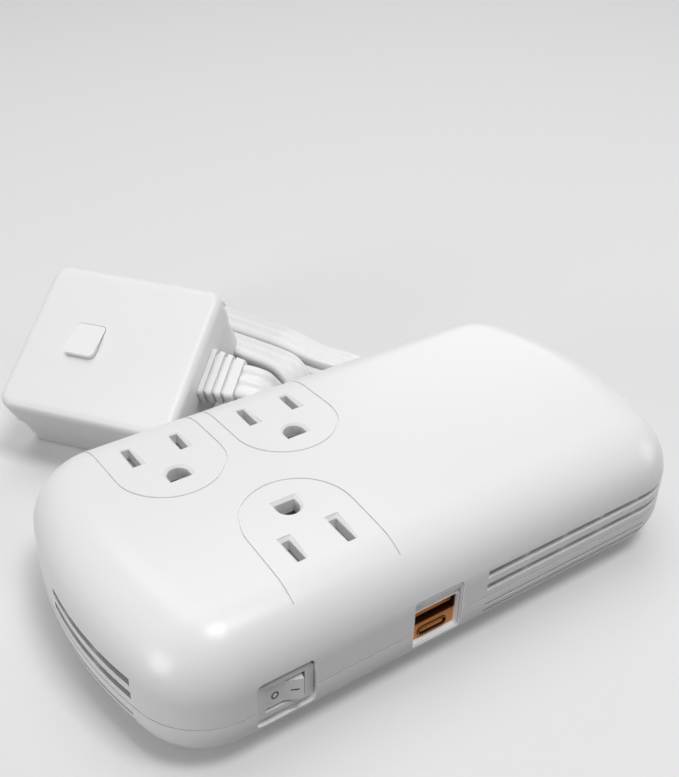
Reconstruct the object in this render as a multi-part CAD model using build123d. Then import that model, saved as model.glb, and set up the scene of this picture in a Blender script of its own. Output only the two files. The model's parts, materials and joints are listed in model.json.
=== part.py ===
from build123d import *
import math
import os

# Travel voltage converter
# A bowed two-shell case with three grounded outlets on top, a power switch and a USB window on its near
# side, and a flat three-core lead that ends in a round-pin plug head lying behind the case.
#
# Frame: millimetres, +Z up, the table at Z = 0. The origin is on the table under the middle of the case.
# +X runs along the case towards its electronics end, -Y is the side with the switch and the USB window.

os.makedirs("parts", exist_ok=True)

# Shared fits
overrun = 5.0
fit_clearance = 0.1
sliding_clearance = 0.15
screw_clearance = 0.05

# Case
case_length = 159.4
case_width = 84.7
case_height = 36.3
foot_proud = 0.6
case_wall = 2.4
plan_corner_radius = 18.65
end_bow = 8.9
top_edge_radius = 14.8
bottom_edge_radius = 11.4
crown_radius = 353.0
seam_height = 13.8
seam_groove = 0.3
lip_inset = 1.3
lip_rise = 1.3
lip_clearance = 0.12

# Case screws, their posts, and the rubber feet over them
case_post_x = 60.0
case_post_y = 27.0
case_post_radius = 3.5
case_screw_radius = 1.45
case_screw_reach = 9.0
screw_head_radius = 2.7
screw_head_height = 2.0
screw_seat_height = 4.8
foot_radius = 5.5
foot_height = 1.9

# Side vents: two slots in the upper shell and two grooves in the lower one
upper_vent_low = 19.5
upper_vent_high = 21.6
lower_vent_low = 15.6
lower_vent_high = 17.6
vent_start_x = 5.8
vent_corner_end_y = -26.0
end_vent_near_y = -26.2
end_vent_far_y = 7.0
vent_face_depth = 1.3
vent_rib_width = 1.4
vent_rib_pitch = 12.5
upper_groove_height = 11.0
lower_groove_height = 8.7
groove_width = 1.0
groove_depth = 0.9
groove_end_x = 60.0

# Outlets: the far side holds two, the near side holds one turned about
outlet_1_x = -44.9
outlet_2_x = -12.9
outlet_3_x = -29.5
ground_hole_y = 12.4
ground_hole_width = 5.5
ground_hole_length = 4.7
slot_row_y = 24.3
slot_spacing = 12.7
slot_width = 2.1
neutral_slot_length = 7.9
hot_slot_length = 6.9
slot_lead_in = 0.7
ring_radius = 13.7
ring_centre_y = 17.0
ring_leg_end_y = 36.0
ring_width = 0.45
ring_depth = 0.35

# Outlet carriers under the upper shell
carrier_half_width = 11.5
carrier_inner_y = 7.0
carrier_outer_y = 31.0
carrier_low = 14.4
carrier_top = 31.9
carrier_floor = 0.6
cavity_width = 4.5
cavity_length = 9.0
cavity_top = 28.7
ground_cavity_radius = 3.75
passage_width = 2.5
passage_length = 8.4
carrier_screw_x = 8.6
carrier_screw_y = 9.8
carrier_screw_radius = 1.1
carrier_screw_head_radius = 2.0
carrier_screw_head_height = 1.4
carrier_screw_seat = 26.0
carrier_screw_top = 34.2

# Shutters and their springs
pocket_floor = 29.7
pocket_low_x = -8.0
pocket_high_x = 10.5
pocket_inner_y = 19.6
pocket_outer_y = 29.0
spring_channel_y = 16.6
spring_channel_high_x = 0.6
shutter_low_x = -7.7
shutter_high_x = 7.6
shutter_clearance = 0.2
shutter_window_low_x = 2.2
shutter_window_high_x = 4.95
shutter_rim = 0.6
shutter_tab_width = 1.6
shutter_spring_radius = 0.8
shutter_spring_wire_radius = 0.17
shutter_spring_turns = 7

# Contacts
contact_thickness = 0.5
contact_pinch = 1.3
contact_flare = 0.5
contact_height = 12.8
contact_knee_share = 0.62
contact_pinch_share = 0.86
contact_tail_width = 3.0
contact_tail_drop = 3.0
ground_contact_radius = 2.9
ground_contact_bore = 2.3
ground_contact_height = 11.5
ground_contact_slit = 1.2

# Power switch: a rocker in a snap-in housing, set in a recess of the near side
switch_x = -48.7
switch_z = 15.0
recess_depth = 2.0
recess_half_width = 7.2
recess_low = 8.3
recess_high = 21.6
recess_corner = 1.6
window_boss_margin = 1.3
window_boss_depth = 2.1
bezel_width = 14.2
bezel_height = 9.5
bezel_thickness = 1.1
bezel_corner = 1.2
switch_body_width = 12.0
switch_body_height = 8.2
switch_body_depth = 14.35
rocker_width = 8.7
rocker_height = 6.0
rocker_clearance = 0.5
rocker_crest = 2.1
rocker_dip = 0.9
rocker_waist = 1.4
rocker_heel = 3.6
rocker_heel_share = 0.45
rocker_pivot_depth = 1.6
rocker_pivot_radius = 0.8
rocker_pivot_reach = 0.85
rocker_rest_angle = -12.0
rocker_well_depth = 7.0
switch_terminal_spacing = 6.4
switch_terminal_width = 0.8
switch_terminal_height = 4.8
switch_terminal_length = 6.0

# USB window, its face plate, ports and upright board
usb_window_low_x = -15.2
usb_window_high_x = -1.75
usb_window_low = 8.3
usb_window_high = 22.1
usb_window_corner = 0.8
usb_rim = 0.5
usb_rim_depth = 0.4
usb_plate_margin = 0.8
usb_plate_depth = 2.05
usb_plate_thickness = 1.2
usb_port_x = -8.6
usb_port_proud = 0.3
usb_port_reach = 16.35
usb_a_z = 16.3
usb_a_width = 12.5
usb_a_height = 5.12
usb_a_corner = 0.6
usb_c_z = 10.9
usb_c_width = 8.34
usb_c_height = 2.56
usb_c_corner = 1.2
usb_metal = 0.3
usb_back_thickness = 1.5
usb_a_tongue_width = 11.1
usb_a_tongue_thickness = 2.2
usb_a_tongue_rise = 0.4
usb_c_tongue_width = 6.6
usb_c_tongue_thickness = 0.7
usb_tongue_setback = 1.0
usb_board_top = 22.0
usb_board_margin = 1.0

# Boards
board_thickness = 1.6
board_low = 6.2
board_inset = 6.0
board_left_gap = 22.7
board_hole_clearance = 0.4
board_post_left_gap = 25.7
board_post_right_gap = 22.2
board_post_side_gap = 23.85
board_post_radius = 3.0
board_screw_radius = 1.2
board_screw_depth = 3.5
control_board_x = 2.4
control_board_low_y = -22.0
control_board_high_y = 20.0
control_board_top = 26.0
control_chip_width = 12.0
control_chip_height = 8.0
control_chip_thickness = 1.5

# Cooling fan and its cradle
fan_size = 25.0
fan_thickness = 10.0
fan_end_gap = 10.3
fan_y = -9.6
fan_z = 17.0
fan_duct_radius = 11.9
fan_hole_offset = 10.0
fan_hole_radius = 1.4
fan_hub_radius = 5.5
fan_stator_thickness = 1.6
fan_spoke_width = 1.6
fan_running_gap = 0.6
fan_blade_count = 7
fan_blade_radius = 11.2
fan_blade_chord = 6.6
fan_blade_thickness = 0.9
fan_blade_pitch = 40.0
fan_blade_root = 0.8
fan_shaft_radius = 0.75
fan_bearing_clearance = 0.05
cradle_wall = 1.5
cradle_rise = 8.2

# Power electronics on the main board
capacitor_radius = 8.0
capacitor_height = 22.0
capacitor_groove_height = 2.4
capacitor_groove_depth = 0.5
capacitor_groove_width = 0.8
capacitor_near_x = 14.5
capacitor_near_y = -17.0
capacitor_far_y = 0.5
capacitor_right_x = 33.0
transformer_x = 40.0
transformer_y = 9.5
transformer_length = 30.0
transformer_depth = 22.0
transformer_height = 22.0
transformer_limb = 5.0
transformer_winding_proud = 3.0
heat_sink_x = 39.0
heat_sink_length = 30.0
heat_sink_wall_gap = 11.85
heat_sink_thickness = 2.5
heat_sink_height = 20.0
heat_sink_fin_depth = 3.0
heat_sink_fin_width = 1.2
heat_sink_fins = 6
transistor_spacing = 16.0
transistor_width = 10.0
transistor_thickness = 4.5
transistor_height = 15.0
transistor_rise = 2.5
transistor_leg = 0.8
transistor_leg_spacing = 2.54
choke_end_gap = 15.2
choke_y = -7.0
choke_outer_radius = 9.0
choke_inner_radius = 4.6
choke_height = 9.0
choke_winding = 1.4
choke_gap_width = 5.0
fuse_end_gap = 11.7
fuse_y = 17.0
fuse_length = 20.0
fuse_radius = 2.4
fuse_cap_radius = 2.6
fuse_cap_length = 5.0
fuse_axis_height = 12.0
fuse_clip_width = 3.5
fuse_clip_thickness = 0.6

# Flat lead and its strain reliefs
ribbon_width = 11.0
ribbon_thickness = 3.7
lead_radius = 1.85
lead_arc_share = 0.45
gap_step = 1.0
inlet_x = 38.0
relief_root_width = 15.0
relief_root_height = 7.5
relief_neck_width = 12.6
relief_neck_height = 5.4
relief_corner = 1.2
relief_flange_width = 16.0
relief_flange_height = 8.4
relief_flange_thickness = 1.6
relief_wall_reach = 3.0
relief_tip_wall = 0.7
relief_groove_depth = 0.9
relief_flange_share = 0.55
relief_groove_share = 0.42
inlet_relief_length = 8.0
inlet_relief_grooves = 3
plug_relief_length = 10.0
plug_relief_grooves = 3

# Plug head: it lies on one edge and on the tips of its pins, behind the case
head_x = -33.48
head_y = 77.32
head_yaw = -52.0
head_tilt = 31.2
head_width = 53.5
head_length = 47.8
head_thickness = 25.4
head_seam_depth = 10.8
head_base_inset = 0.6
head_corner = 4.5
head_edge_radius = 2.6
head_base_radius = 1.0
head_wall = 2.0
head_floor = 2.4
head_lip_rise = 1.2
head_lip_wall = 0.8
head_post_radius = 2.8
head_screw_x = 20.5
head_screw_y = 17.8
head_screw_radius = 1.2
head_screw_head_radius = 2.0
head_screw_head_height = 1.4
head_screw_seat = 3.0
head_screw_reach = 6.0
head_relief_y = 1.5
head_relief_depth = 10.5

# Round pins and the plate that holds them
pin_radius = 2.0
pin_length = 19.0
pin_root_radius = 2.6
pin_root_proud = 0.4
pin_spacing = 19.0
pin_plate_thickness = 5.0
pin_plate_half_width = 15.0
pin_plate_low_y = -6.0
pin_plate_high_y = 14.0
pin_cup_radius = 1.6
pin_cup_bore = 1.0
pin_cup_height = 4.0

# Button of the plug head
button_x = -7.6
button_y = 0.2
button_width = 8.8
button_length = 10.6
button_corner = 1.2
button_depth = 7.0
button_rise = 1.8
button_flange_width = 1.0
button_flange_thickness = 1.4
button_spring_length = 4.5
button_spring_radius = 2.2
button_spring_wire_radius = 0.25
button_spring_turns = 4
spring_post_radius = 3.2

# Hank of the flat lead: two ribbons side by side and two layers, folded round two imagined pegs
hank_near = (19.5, 65.5)
hank_far = (1.5, 124.0)
hank_column_pitch = 11.6
hank_layer_pitch = 4.5
hank_inner_radius = 4.5
hank_floor_gap = 0.05
hank_waist_lift = 1.5
hank_waist_height = 16.9
hank_waist_half = 5.0
hank_flat_length = 4.0
hank_waist_share = 0.7
hank_shift_share = 0.22
hank_loop_share = 0.96
hank_bend_radius = 11.0
hank_shift_radius = 11.0
hank_start_reach = 6.0
hank_end_reach = 14.0
hank_lead_run = 7.5
plug_exit_run = 6.2
inlet_exit_run = 4.3
tie_width = 6.0
tie_thickness = 1.2
tie_gap = 0.3
tie_corner = 2.0

# Routes of the free stretches of the lead, from the plug to the hank and from the hank to the case
plug_route = [
    (3.6, 47.4, 19.6),
    (8.2, 48.4, 12.0),
    (14.0, 48.6, 6.8),
    (20.6, 48.2, 5.6),
    (26.4, 50.4, 5.6),
    (28.6, 57.4, 5.9),
]
inlet_route = [
    (27.8, 64.8, 17.0),
    (34.6, 59.0, 15.2),
]


def block(low, high):
    """A box between its lowest and its highest corner."""
    size = [high[i] - low[i] for i in range(3)]
    middle = [(high[i] + low[i]) / 2 for i in range(3)]
    return Pos(*middle) * Box(*size)


def rod(radius, start, end):
    """A round rod between two points."""
    line = Vector(*end) - Vector(*start)
    return extrude(Plane(origin=start, z_dir=line) * Circle(radius), line.length)


def side_panel(width, height, corner, x, z, outer_y, inner_y):
    """A round-cornered panel on the near side, between two depths."""
    plane = Plane(origin=(x, inner_y, z), x_dir=(1, 0, 0), z_dir=(0, -1, 0))
    return extrude(plane * RectangleRounded(width, height, corner), inner_y - outer_y)


def save(name, *pieces):
    """Writes one node, as one solid or as a group of separate ones."""
    shape = pieces[0] if len(pieces) == 1 else Compound(children=list(pieces))
    export_step(shape, f"parts/{name}.step")


# Case form

near_wall_y = -case_width / 2
fuse_x = case_length / 2 - fuse_end_gap
choke_x = case_length / 2 - choke_end_gap
fan_left_x = -case_length / 2 + fan_end_gap
board_post_y = case_width / 2 - board_post_side_gap
board_post_right_x = case_length / 2 - board_post_right_gap
board_post_left_x = -case_length / 2 + board_post_left_gap
board_left_x = -case_length / 2 + board_left_gap
heat_sink_y = case_width / 2 - heat_sink_wall_gap
usb_port_back_y = near_wall_y + usb_port_reach
switch_body_back_y = near_wall_y + recess_depth + switch_body_depth
end_radius = ((case_width / 2) ** 2 + end_bow**2) / (2 * end_bow)
end_centre_x = case_length / 2 - end_radius
corner_centre_y = case_width / 2 - plan_corner_radius
corner_centre_x = end_centre_x + math.sqrt((end_radius - plan_corner_radius) ** 2 - corner_centre_y**2)


def end_arcs(inset, side):
    """Half of the plan outline: a corner, the bowed end and the other corner, on one side of X."""
    reach = (end_radius - inset) / (end_radius - plan_corner_radius)
    join_x = end_centre_x + (corner_centre_x - end_centre_x) * reach
    join_y = corner_centre_y * reach
    join_angle = math.atan2(corner_centre_y, corner_centre_x - end_centre_x)
    middle_angle = (join_angle + math.pi / 2) / 2
    middle_x = corner_centre_x + (plan_corner_radius - inset) * math.cos(middle_angle)
    middle_y = corner_centre_y + (plan_corner_radius - inset) * math.sin(middle_angle)
    half = case_width / 2 - inset
    tip_x = end_centre_x + end_radius - inset
    near = ThreePointArc(
        (side * corner_centre_x, -half), (side * middle_x, -middle_y), (side * join_x, -join_y)
    )
    end = ThreePointArc((side * join_x, -join_y), (side * tip_x, 0), (side * join_x, join_y))
    far = ThreePointArc(
        (side * join_x, join_y), (side * middle_x, middle_y), (side * corner_centre_x, half)
    )
    return [near, end, far]


def case_outline(inset):
    """The plan of the case, drawn in by an inset."""
    half = case_width / 2 - inset
    near = Line((-corner_centre_x, -half), (corner_centre_x, -half))
    far = Line((corner_centre_x, half), (-corner_centre_x, half))
    return make_face(Curve() + end_arcs(inset, 1) + end_arcs(inset, -1) + [near, far])


def case_body(inset):
    """The case as a solid: bowed plan, crowned top and rounded edges, drawn in by an inset."""
    floor = foot_proud + inset
    body = extrude(Pos(0, 0, floor) * case_outline(inset), case_height - floor + overrun)
    crown = Rot(0, 90, 0) * Cylinder(crown_radius - inset, 2 * case_length)
    body &= Pos(0, 0, case_height - crown_radius) * crown
    top_edges = body.edges().filter_by(lambda edge: edge.center().Z > case_height - top_edge_radius)
    body = fillet(top_edges, top_edge_radius - inset)
    return fillet(body.edges().group_by(Axis.Z)[0], bottom_edge_radius - inset)


def slab(low, high):
    """All of the case between two heights."""
    reach = case_length + overrun
    return block((-reach, -reach, low), (reach, reach, high))


def skin(depth):
    """The outermost layer of the case."""
    return outer_form - case_body(depth)


outer_form = case_body(0)
cavity_form = case_body(case_wall)
anchor_form = case_body(case_wall / 2)

# Outlet places: each is the middle of the case top under its outlet, +Y pointing to its blade slots

outlet_places = [
    Pos(outlet_1_x, 0, 0),
    Pos(outlet_2_x, 0, 0),
    Pos(outlet_3_x, 0, 0) * Rot(0, 0, 180),
]
hot_slot_x = slot_spacing / 2
neutral_slot_x = -slot_spacing / 2


def top_height(y):
    """Height of the crowned top at a distance from the middle line."""
    return case_height - crown_radius + math.sqrt(crown_radius**2 - y**2)


def ground_hole_face():
    """The D of a ground hole, its round side towards the slots."""
    radius = ground_hole_width / 2
    low_y = ground_hole_y - ground_hole_length / 2
    centre_y = low_y + ground_hole_length - radius
    straight = [
        Line((-radius, centre_y), (-radius, low_y)),
        Line((-radius, low_y), (radius, low_y)),
        Line((radius, low_y), (radius, centre_y)),
    ]
    arch = ThreePointArc((radius, centre_y), (0, centre_y + radius), (-radius, centre_y))
    return make_face(Curve() + straight + [arch])


def slot_face(x, length):
    """One blade slot in plan."""
    return Pos(x, slot_row_y, 0) * Rectangle(slot_width, length)


def entry_cut(face, y):
    """A hole through the top with a sloped lead-in at the surface."""
    surface = top_height(y)
    hole = extrude(Pos(0, 0, carrier_top - overrun) * face, case_height - carrier_top + 2 * overrun)
    mouth = Pos(0, 0, surface) * offset(face, slot_lead_in, kind=Kind.INTERSECTION)
    cone = extrude(mouth, slot_lead_in, dir=(0, 0, -1), taper=45)
    return hole + cone + extrude(mouth, overrun)


def outlet_cuts():
    """The three openings of one outlet, in its own place."""
    neutral = entry_cut(slot_face(neutral_slot_x, neutral_slot_length), slot_row_y)
    hot = entry_cut(slot_face(hot_slot_x, hot_slot_length), slot_row_y)
    ground = entry_cut(ground_hole_face(), ground_hole_y)
    return [neutral, hot, ground]


def outlet_ring():
    """The U-shaped line that frames one outlet, as a tall ring."""
    parts = []
    for radius in (ring_radius + ring_width / 2, ring_radius - ring_width / 2):
        round_end = Pos(0, ring_centre_y, 0) * Circle(radius)
        leg_low = (-radius, ring_centre_y)
        legs = Pos(0, (leg_low[1] + ring_leg_end_y) / 2, 0) * Rectangle(
            2 * radius, ring_leg_end_y - leg_low[1]
        )
        parts.append(round_end + legs)
    beyond = Pos(0, ring_leg_end_y, 0) * Rectangle(2 * ring_radius - ring_width, 2 * ring_width)
    return extrude(Pos(0, 0, seam_height) * (parts[0] - parts[1] - beyond), case_height)


def outlet_pad():
    """The flat seat under the crown that one carrier is screwed to."""
    return block(
        (-carrier_half_width, carrier_inner_y, carrier_top),
        (carrier_half_width, carrier_outer_y, case_height + overrun),
    )


def carrier_screw_spots():
    return [(carrier_screw_x, carrier_screw_y), (-carrier_screw_x, carrier_screw_y)]


# Vents


def side_vent(low, high):
    """One slot along the near side and round the corner, with ribs across its inner half."""
    reach = case_length + overrun
    band = block((vent_start_x, -reach, low), (reach, vent_corner_end_y, high))
    end_band = block((-reach, end_vent_near_y, low), (-case_post_x, end_vent_far_y, high))
    ribs = []
    rib_x = vent_start_x + vent_rib_pitch
    while rib_x < corner_centre_x + plan_corner_radius:
        ribs.append(block((rib_x, -reach, low), (rib_x + vent_rib_width, vent_corner_end_y, high)))
        rib_x += vent_rib_pitch
    rib_y = end_vent_near_y + vent_rib_pitch
    while rib_y < end_vent_far_y:
        ribs.append(block((-reach, rib_y, low), (-case_post_x, rib_y + vent_rib_width, high)))
        rib_y += vent_rib_pitch
    face_cut = (band + end_band) & skin(vent_face_depth)
    return [band + end_band - ribs, face_cut]


def side_groove(height):
    """One shallow groove in the lower shell, on the near side and on the fan end."""
    reach = case_length + overrun
    low = height - groove_width / 2
    high = height + groove_width / 2
    band = block((vent_start_x, -reach, low), (groove_end_x, 0, high))
    end_band = block((-reach, end_vent_near_y, low), (-case_post_x, end_vent_far_y, high))
    return (band + end_band) & skin(groove_depth)


# Switch and USB places in the near wall

recess_floor_y = near_wall_y + recess_depth
usb_plate_front_y = near_wall_y + usb_plate_depth
usb_window_x = (usb_window_low_x + usb_window_high_x) / 2
usb_window_z = (usb_window_low + usb_window_high) / 2
usb_window_width = usb_window_high_x - usb_window_low_x
usb_window_height = usb_window_high - usb_window_low
boss_back_y = recess_floor_y + window_boss_depth
rocker_pivot_y = recess_floor_y - bezel_thickness + rocker_pivot_depth


def switch_recess():
    """The shallow recess that the switch sits in, and the snap-in hole through its floor."""
    recess_z = (recess_low + recess_high) / 2
    pocket = side_panel(
        2 * recess_half_width,
        recess_high - recess_low,
        recess_corner,
        switch_x,
        recess_z,
        near_wall_y - overrun,
        recess_floor_y,
    )
    hole_width = switch_body_width + 2 * sliding_clearance
    hole_height = switch_body_height + 2 * sliding_clearance
    hole = side_panel(
        hole_width, hole_height, sliding_clearance, switch_x, switch_z, recess_floor_y - overrun, boss_back_y + overrun
    )
    return [pocket, hole]


def usb_opening():
    """The USB window with its stepped rim, and the pocket behind it for the face plate."""
    window = side_panel(
        usb_window_width,
        usb_window_height,
        usb_window_corner,
        usb_window_x,
        usb_window_z,
        near_wall_y - overrun,
        boss_back_y + overrun,
    )
    rim = side_panel(
        usb_window_width + 2 * usb_rim,
        usb_window_height + 2 * usb_rim,
        usb_window_corner + usb_rim,
        usb_window_x,
        usb_window_z,
        near_wall_y - overrun,
        near_wall_y + usb_rim_depth,
    )
    pocket = side_panel(
        usb_window_width + 2 * usb_plate_margin + 2 * fit_clearance,
        usb_window_height + 2 * usb_plate_margin + 2 * fit_clearance,
        usb_window_corner,
        usb_window_x,
        usb_window_z,
        usb_plate_front_y,
        boss_back_y + overrun,
    )
    return [window, rim, pocket]


def window_bosses():
    """The thicker wall behind the switch recess and the USB window."""
    switch_reach = recess_half_width + window_boss_margin
    switch_boss = block(
        (switch_x - switch_reach, near_wall_y, recess_low - window_boss_margin),
        (switch_x + switch_reach, boss_back_y, recess_high + window_boss_margin),
    )
    usb_boss = block(
        (usb_window_low_x - 2 * window_boss_margin, near_wall_y, usb_window_low - 2 * window_boss_margin),
        (usb_window_high_x + 2 * window_boss_margin, boss_back_y, usb_window_high + 2 * window_boss_margin),
    )
    return (switch_boss + usb_boss) & anchor_form


def lip_ring(outer_inset, inner_inset, high):
    """A band along the seam between two insets, left out where the side windows and the inlet are."""
    ring = (case_body(outer_inset) - case_body(inner_inset)) & slab(seam_height, high)
    reach = case_width
    switch_gap = block(
        (switch_x - recess_half_width - window_boss_margin, -reach, seam_height),
        (switch_x + recess_half_width + window_boss_margin, 0, high),
    )
    usb_gap = block(
        (usb_window_low_x - 2 * window_boss_margin, -reach, seam_height),
        (usb_window_high_x + 2 * window_boss_margin, 0, high),
    )
    inlet_gap = block(
        (inlet_x - relief_flange_width / 2 - case_wall, 0, seam_height),
        (inlet_x + relief_flange_width / 2 + case_wall, reach, high),
    )
    return ring - switch_gap - usb_gap - inlet_gap


def case_post_spots():
    return [(x, y) for x in (-case_post_x, case_post_x) for y in (-case_post_y, case_post_y)]


def inlet_hole():
    """The hole on the seam that clamps the neck of the inlet strain relief."""
    half_width = relief_neck_width / 2 + fit_clearance
    half_height = relief_neck_height / 2 + fit_clearance
    return block(
        (inlet_x - half_width, 0, seam_height - half_height),
        (inlet_x + half_width, case_width, seam_height + half_height),
    )


def top_shell():
    """The upper shell, with its outlets, vents and windows."""
    shell = (outer_form - cavity_form) & slab(seam_height, case_height + overrun)
    shell -= side_vent(upper_vent_low, upper_vent_high)
    shell -= side_vent(lower_vent_low, lower_vent_high)
    shell += window_bosses() & slab(seam_height, case_height)
    for place in outlet_places:
        shell += (place * outlet_pad()) & anchor_form
    for x, y in case_post_spots():
        shell += rod(case_post_radius, (x, y, seam_height), (x, y, case_height)) & anchor_form
    rebate_high = seam_height + lip_rise + lip_clearance
    shell -= lip_ring(lip_inset - lip_clearance, case_wall + lip_clearance, rebate_high)
    ring_layer = skin(ring_depth)
    for place in outlet_places:
        shell -= [place * cut for cut in outlet_cuts()]
        shell -= (place * outlet_ring()) & ring_layer
        for x, y in carrier_screw_spots():
            radius = carrier_screw_radius + screw_clearance
            shell -= place * rod(
                radius, (x, y, carrier_top - overrun), (x, y, carrier_screw_top + fit_clearance)
            )
    for x, y in case_post_spots():
        top = seam_height + case_screw_reach + fit_clearance
        shell -= rod(case_screw_radius + screw_clearance, (x, y, 0), (x, y, top))
    shell -= switch_recess()
    shell -= usb_opening()
    shell -= inlet_hole()
    return shell


def fan_cradle():
    """The upstand on the floor that holds the foot of the fan."""
    half = fan_size / 2 + fit_clearance
    outside = block(
        (fan_left_x - fit_clearance - cradle_wall, fan_y - half - cradle_wall, 0),
        (fan_left_x + fan_thickness + fit_clearance + cradle_wall, fan_y + half + cradle_wall, cradle_rise),
    )
    inside = block(
        (fan_left_x - fit_clearance, fan_y - half, fan_z - fan_size / 2),
        (fan_left_x + fan_thickness + fit_clearance, fan_y + half, cradle_rise + overrun),
    )
    return (outside - inside) & anchor_form


def board_post_spots():
    columns = (board_post_left_x, board_post_right_x)
    return [(x, y) for x in columns for y in (-board_post_y, board_post_y)]


def bottom_shell():
    """The lower shell, with the posts, the fan cradle and the recesses for the feet."""
    shell = (outer_form - cavity_form) & slab(0, seam_height)
    shell -= side_groove(upper_groove_height)
    shell -= side_groove(lower_groove_height)
    rim = outer_form - case_body(seam_groove)
    shell -= rim & slab(seam_height - seam_groove, seam_height)
    shell += lip_ring(lip_inset, case_wall, seam_height + lip_rise)
    shell += window_bosses() & slab(0, seam_height)
    shell += fan_cradle()
    for x, y in case_post_spots():
        shell += rod(case_post_radius, (x, y, foot_height), (x, y, seam_height))
    for x, y in board_post_spots():
        shell += rod(board_post_radius, (x, y, foot_proud + case_wall / 2), (x, y, board_low))
    for x, y in case_post_spots():
        shell -= rod(foot_radius + fit_clearance, (x, y, 0), (x, y, foot_height))
        shell -= rod(screw_head_radius + fit_clearance, (x, y, 0), (x, y, screw_seat_height))
        shell -= rod(case_screw_radius + fit_clearance, (x, y, 0), (x, y, seam_height))
    for x, y in board_post_spots():
        radius = board_screw_radius + screw_clearance
        shell -= rod(radius, (x, y, board_low - board_screw_depth), (x, y, board_low))
    shell -= switch_recess()
    shell -= usb_opening()
    shell -= inlet_hole()
    return shell


def screw(radius, head_radius, head_height, x, y, seat, tip):
    """A screw with its head on one side of its seat and its shank on the other."""
    direction = 1 if tip > seat else -1
    head = rod(head_radius, (x, y, seat), (x, y, seat - direction * head_height))
    shank = rod(radius, (x, y, seat), (x, y, tip))
    top = seat - direction * head_height
    slot = block(
        (x - head_radius, y - radius / 4, top - head_height / 3),
        (x + head_radius, y + radius / 4, top + head_height / 3),
    )
    return head + shank - slot


def case_screws():
    tip = seam_height + case_screw_reach
    return [
        screw(case_screw_radius, screw_head_radius, screw_head_height, x, y, screw_seat_height, tip)
        for x, y in case_post_spots()
    ]


def rubber_feet():
    return [rod(foot_radius, (x, y, 0), (x, y, foot_height)) for x, y in case_post_spots()]


# Outlets: carriers, shutters and contacts, each made once and set under its outlet


def outlet_carrier():
    """The moulded block under one outlet: contact cavities, shutter pocket and screw holes."""
    body = block(
        (-carrier_half_width, carrier_inner_y, carrier_low),
        (carrier_half_width, carrier_outer_y, carrier_top),
    )
    cavity_low = carrier_low + carrier_floor
    for x in (neutral_slot_x, hot_slot_x):
        low = (x - cavity_width / 2, slot_row_y - cavity_length / 2, cavity_low)
        high = (x + cavity_width / 2, slot_row_y + cavity_length / 2, cavity_top)
        body -= block(low, high)
        body -= Pos(x, slot_row_y, carrier_top) * Box(
            passage_width, passage_length, carrier_top - cavity_low
        )
        body -= Pos(x, slot_row_y, carrier_low) * Box(
            contact_thickness + fit_clearance, contact_tail_width + fit_clearance, 2 * carrier_floor
        )
    body -= rod(ground_cavity_radius, (0, ground_hole_y, cavity_low), (0, ground_hole_y, cavity_top))
    body -= extrude(Pos(0, 0, cavity_low) * offset(ground_hole_face(), fit_clearance), case_height)
    body -= Pos(0, ground_hole_y, carrier_low) * Box(
        contact_thickness + fit_clearance, contact_tail_width + fit_clearance, 2 * carrier_floor
    )
    body -= block(
        (pocket_low_x, pocket_inner_y, pocket_floor), (pocket_high_x, pocket_outer_y, case_height)
    )
    body -= block(
        (pocket_low_x, spring_channel_y, pocket_floor), (spring_channel_high_x, pocket_inner_y, case_height)
    )
    for x, y in carrier_screw_spots():
        body -= rod(carrier_screw_radius + fit_clearance, (x, y, carrier_low), (x, y, carrier_top))
        body -= rod(
            carrier_screw_head_radius + fit_clearance, (x, y, carrier_low), (x, y, carrier_screw_seat)
        )
    return body


def shutter():
    """The sliding plate behind the slots, with one window and the tab that its spring pushes."""
    low = pocket_floor + shutter_clearance
    high = carrier_top - shutter_clearance
    inner_y = pocket_inner_y + shutter_clearance
    outer_y = pocket_outer_y - shutter_clearance
    plate = block((shutter_low_x, inner_y, low), (shutter_high_x, outer_y, high))
    window = block(
        (shutter_window_low_x, inner_y + shutter_rim, low), (
            shutter_window_high_x, outer_y - shutter_rim, high
        )
    )
    tab = block(
        (shutter_low_x, spring_channel_y + shutter_clearance, low),
        (shutter_low_x + shutter_tab_width, inner_y + shutter_rim, high),
    )
    return plate - window + tab


def coil_spring(radius, wire_radius, turns, start, end):
    """A helical spring between two points."""
    line = Vector(*end) - Vector(*start)
    length = line.length - 2 * wire_radius
    path = Helix(length / turns, length, radius)
    wire = sweep(Plane(origin=path @ 0, z_dir=path % 0) * Circle(wire_radius), path)
    return Location(Plane(origin=start, z_dir=line)) * Pos(0, 0, wire_radius) * wire


def shutter_spring():
    y = (spring_channel_y + pocket_inner_y) / 2
    z = (pocket_floor + carrier_top) / 2
    start = (shutter_low_x + shutter_tab_width + fit_clearance, y, z)
    end = (spring_channel_high_x - fit_clearance, y, z)
    return coil_spring(shutter_spring_radius, shutter_spring_wire_radius, shutter_spring_turns, start, end)


def blade_contact(x):
    """A folded brass clip that grips one flat blade, with its tail through the carrier's floor."""
    half = cavity_width / 2 - fit_clearance
    pinch = contact_pinch / 2
    knee = contact_height * contact_knee_share
    neck = contact_height * contact_pinch_share
    right = [
        (half, 0),
        (half, knee),
        (pinch + contact_thickness, neck),
        (pinch + contact_thickness + contact_flare, contact_height),
        (pinch + contact_flare, contact_height),
        (pinch, neck),
        (half - contact_thickness, knee),
        (half - contact_thickness, contact_thickness),
    ]
    left = [(-px, pz) for px, pz in reversed(right)]
    outer_y = slot_row_y + cavity_length / 2 - fit_clearance
    depth = cavity_length - 2 * fit_clearance
    base_z = carrier_low + carrier_floor
    profile = make_face(Polyline(*right, *left, close=True))
    clip = extrude(Plane(origin=(x, outer_y, base_z), x_dir=(1, 0, 0), z_dir=(0, -1, 0)) * profile, depth)
    return clip + contact_tail(x, slot_row_y, base_z)


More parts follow.
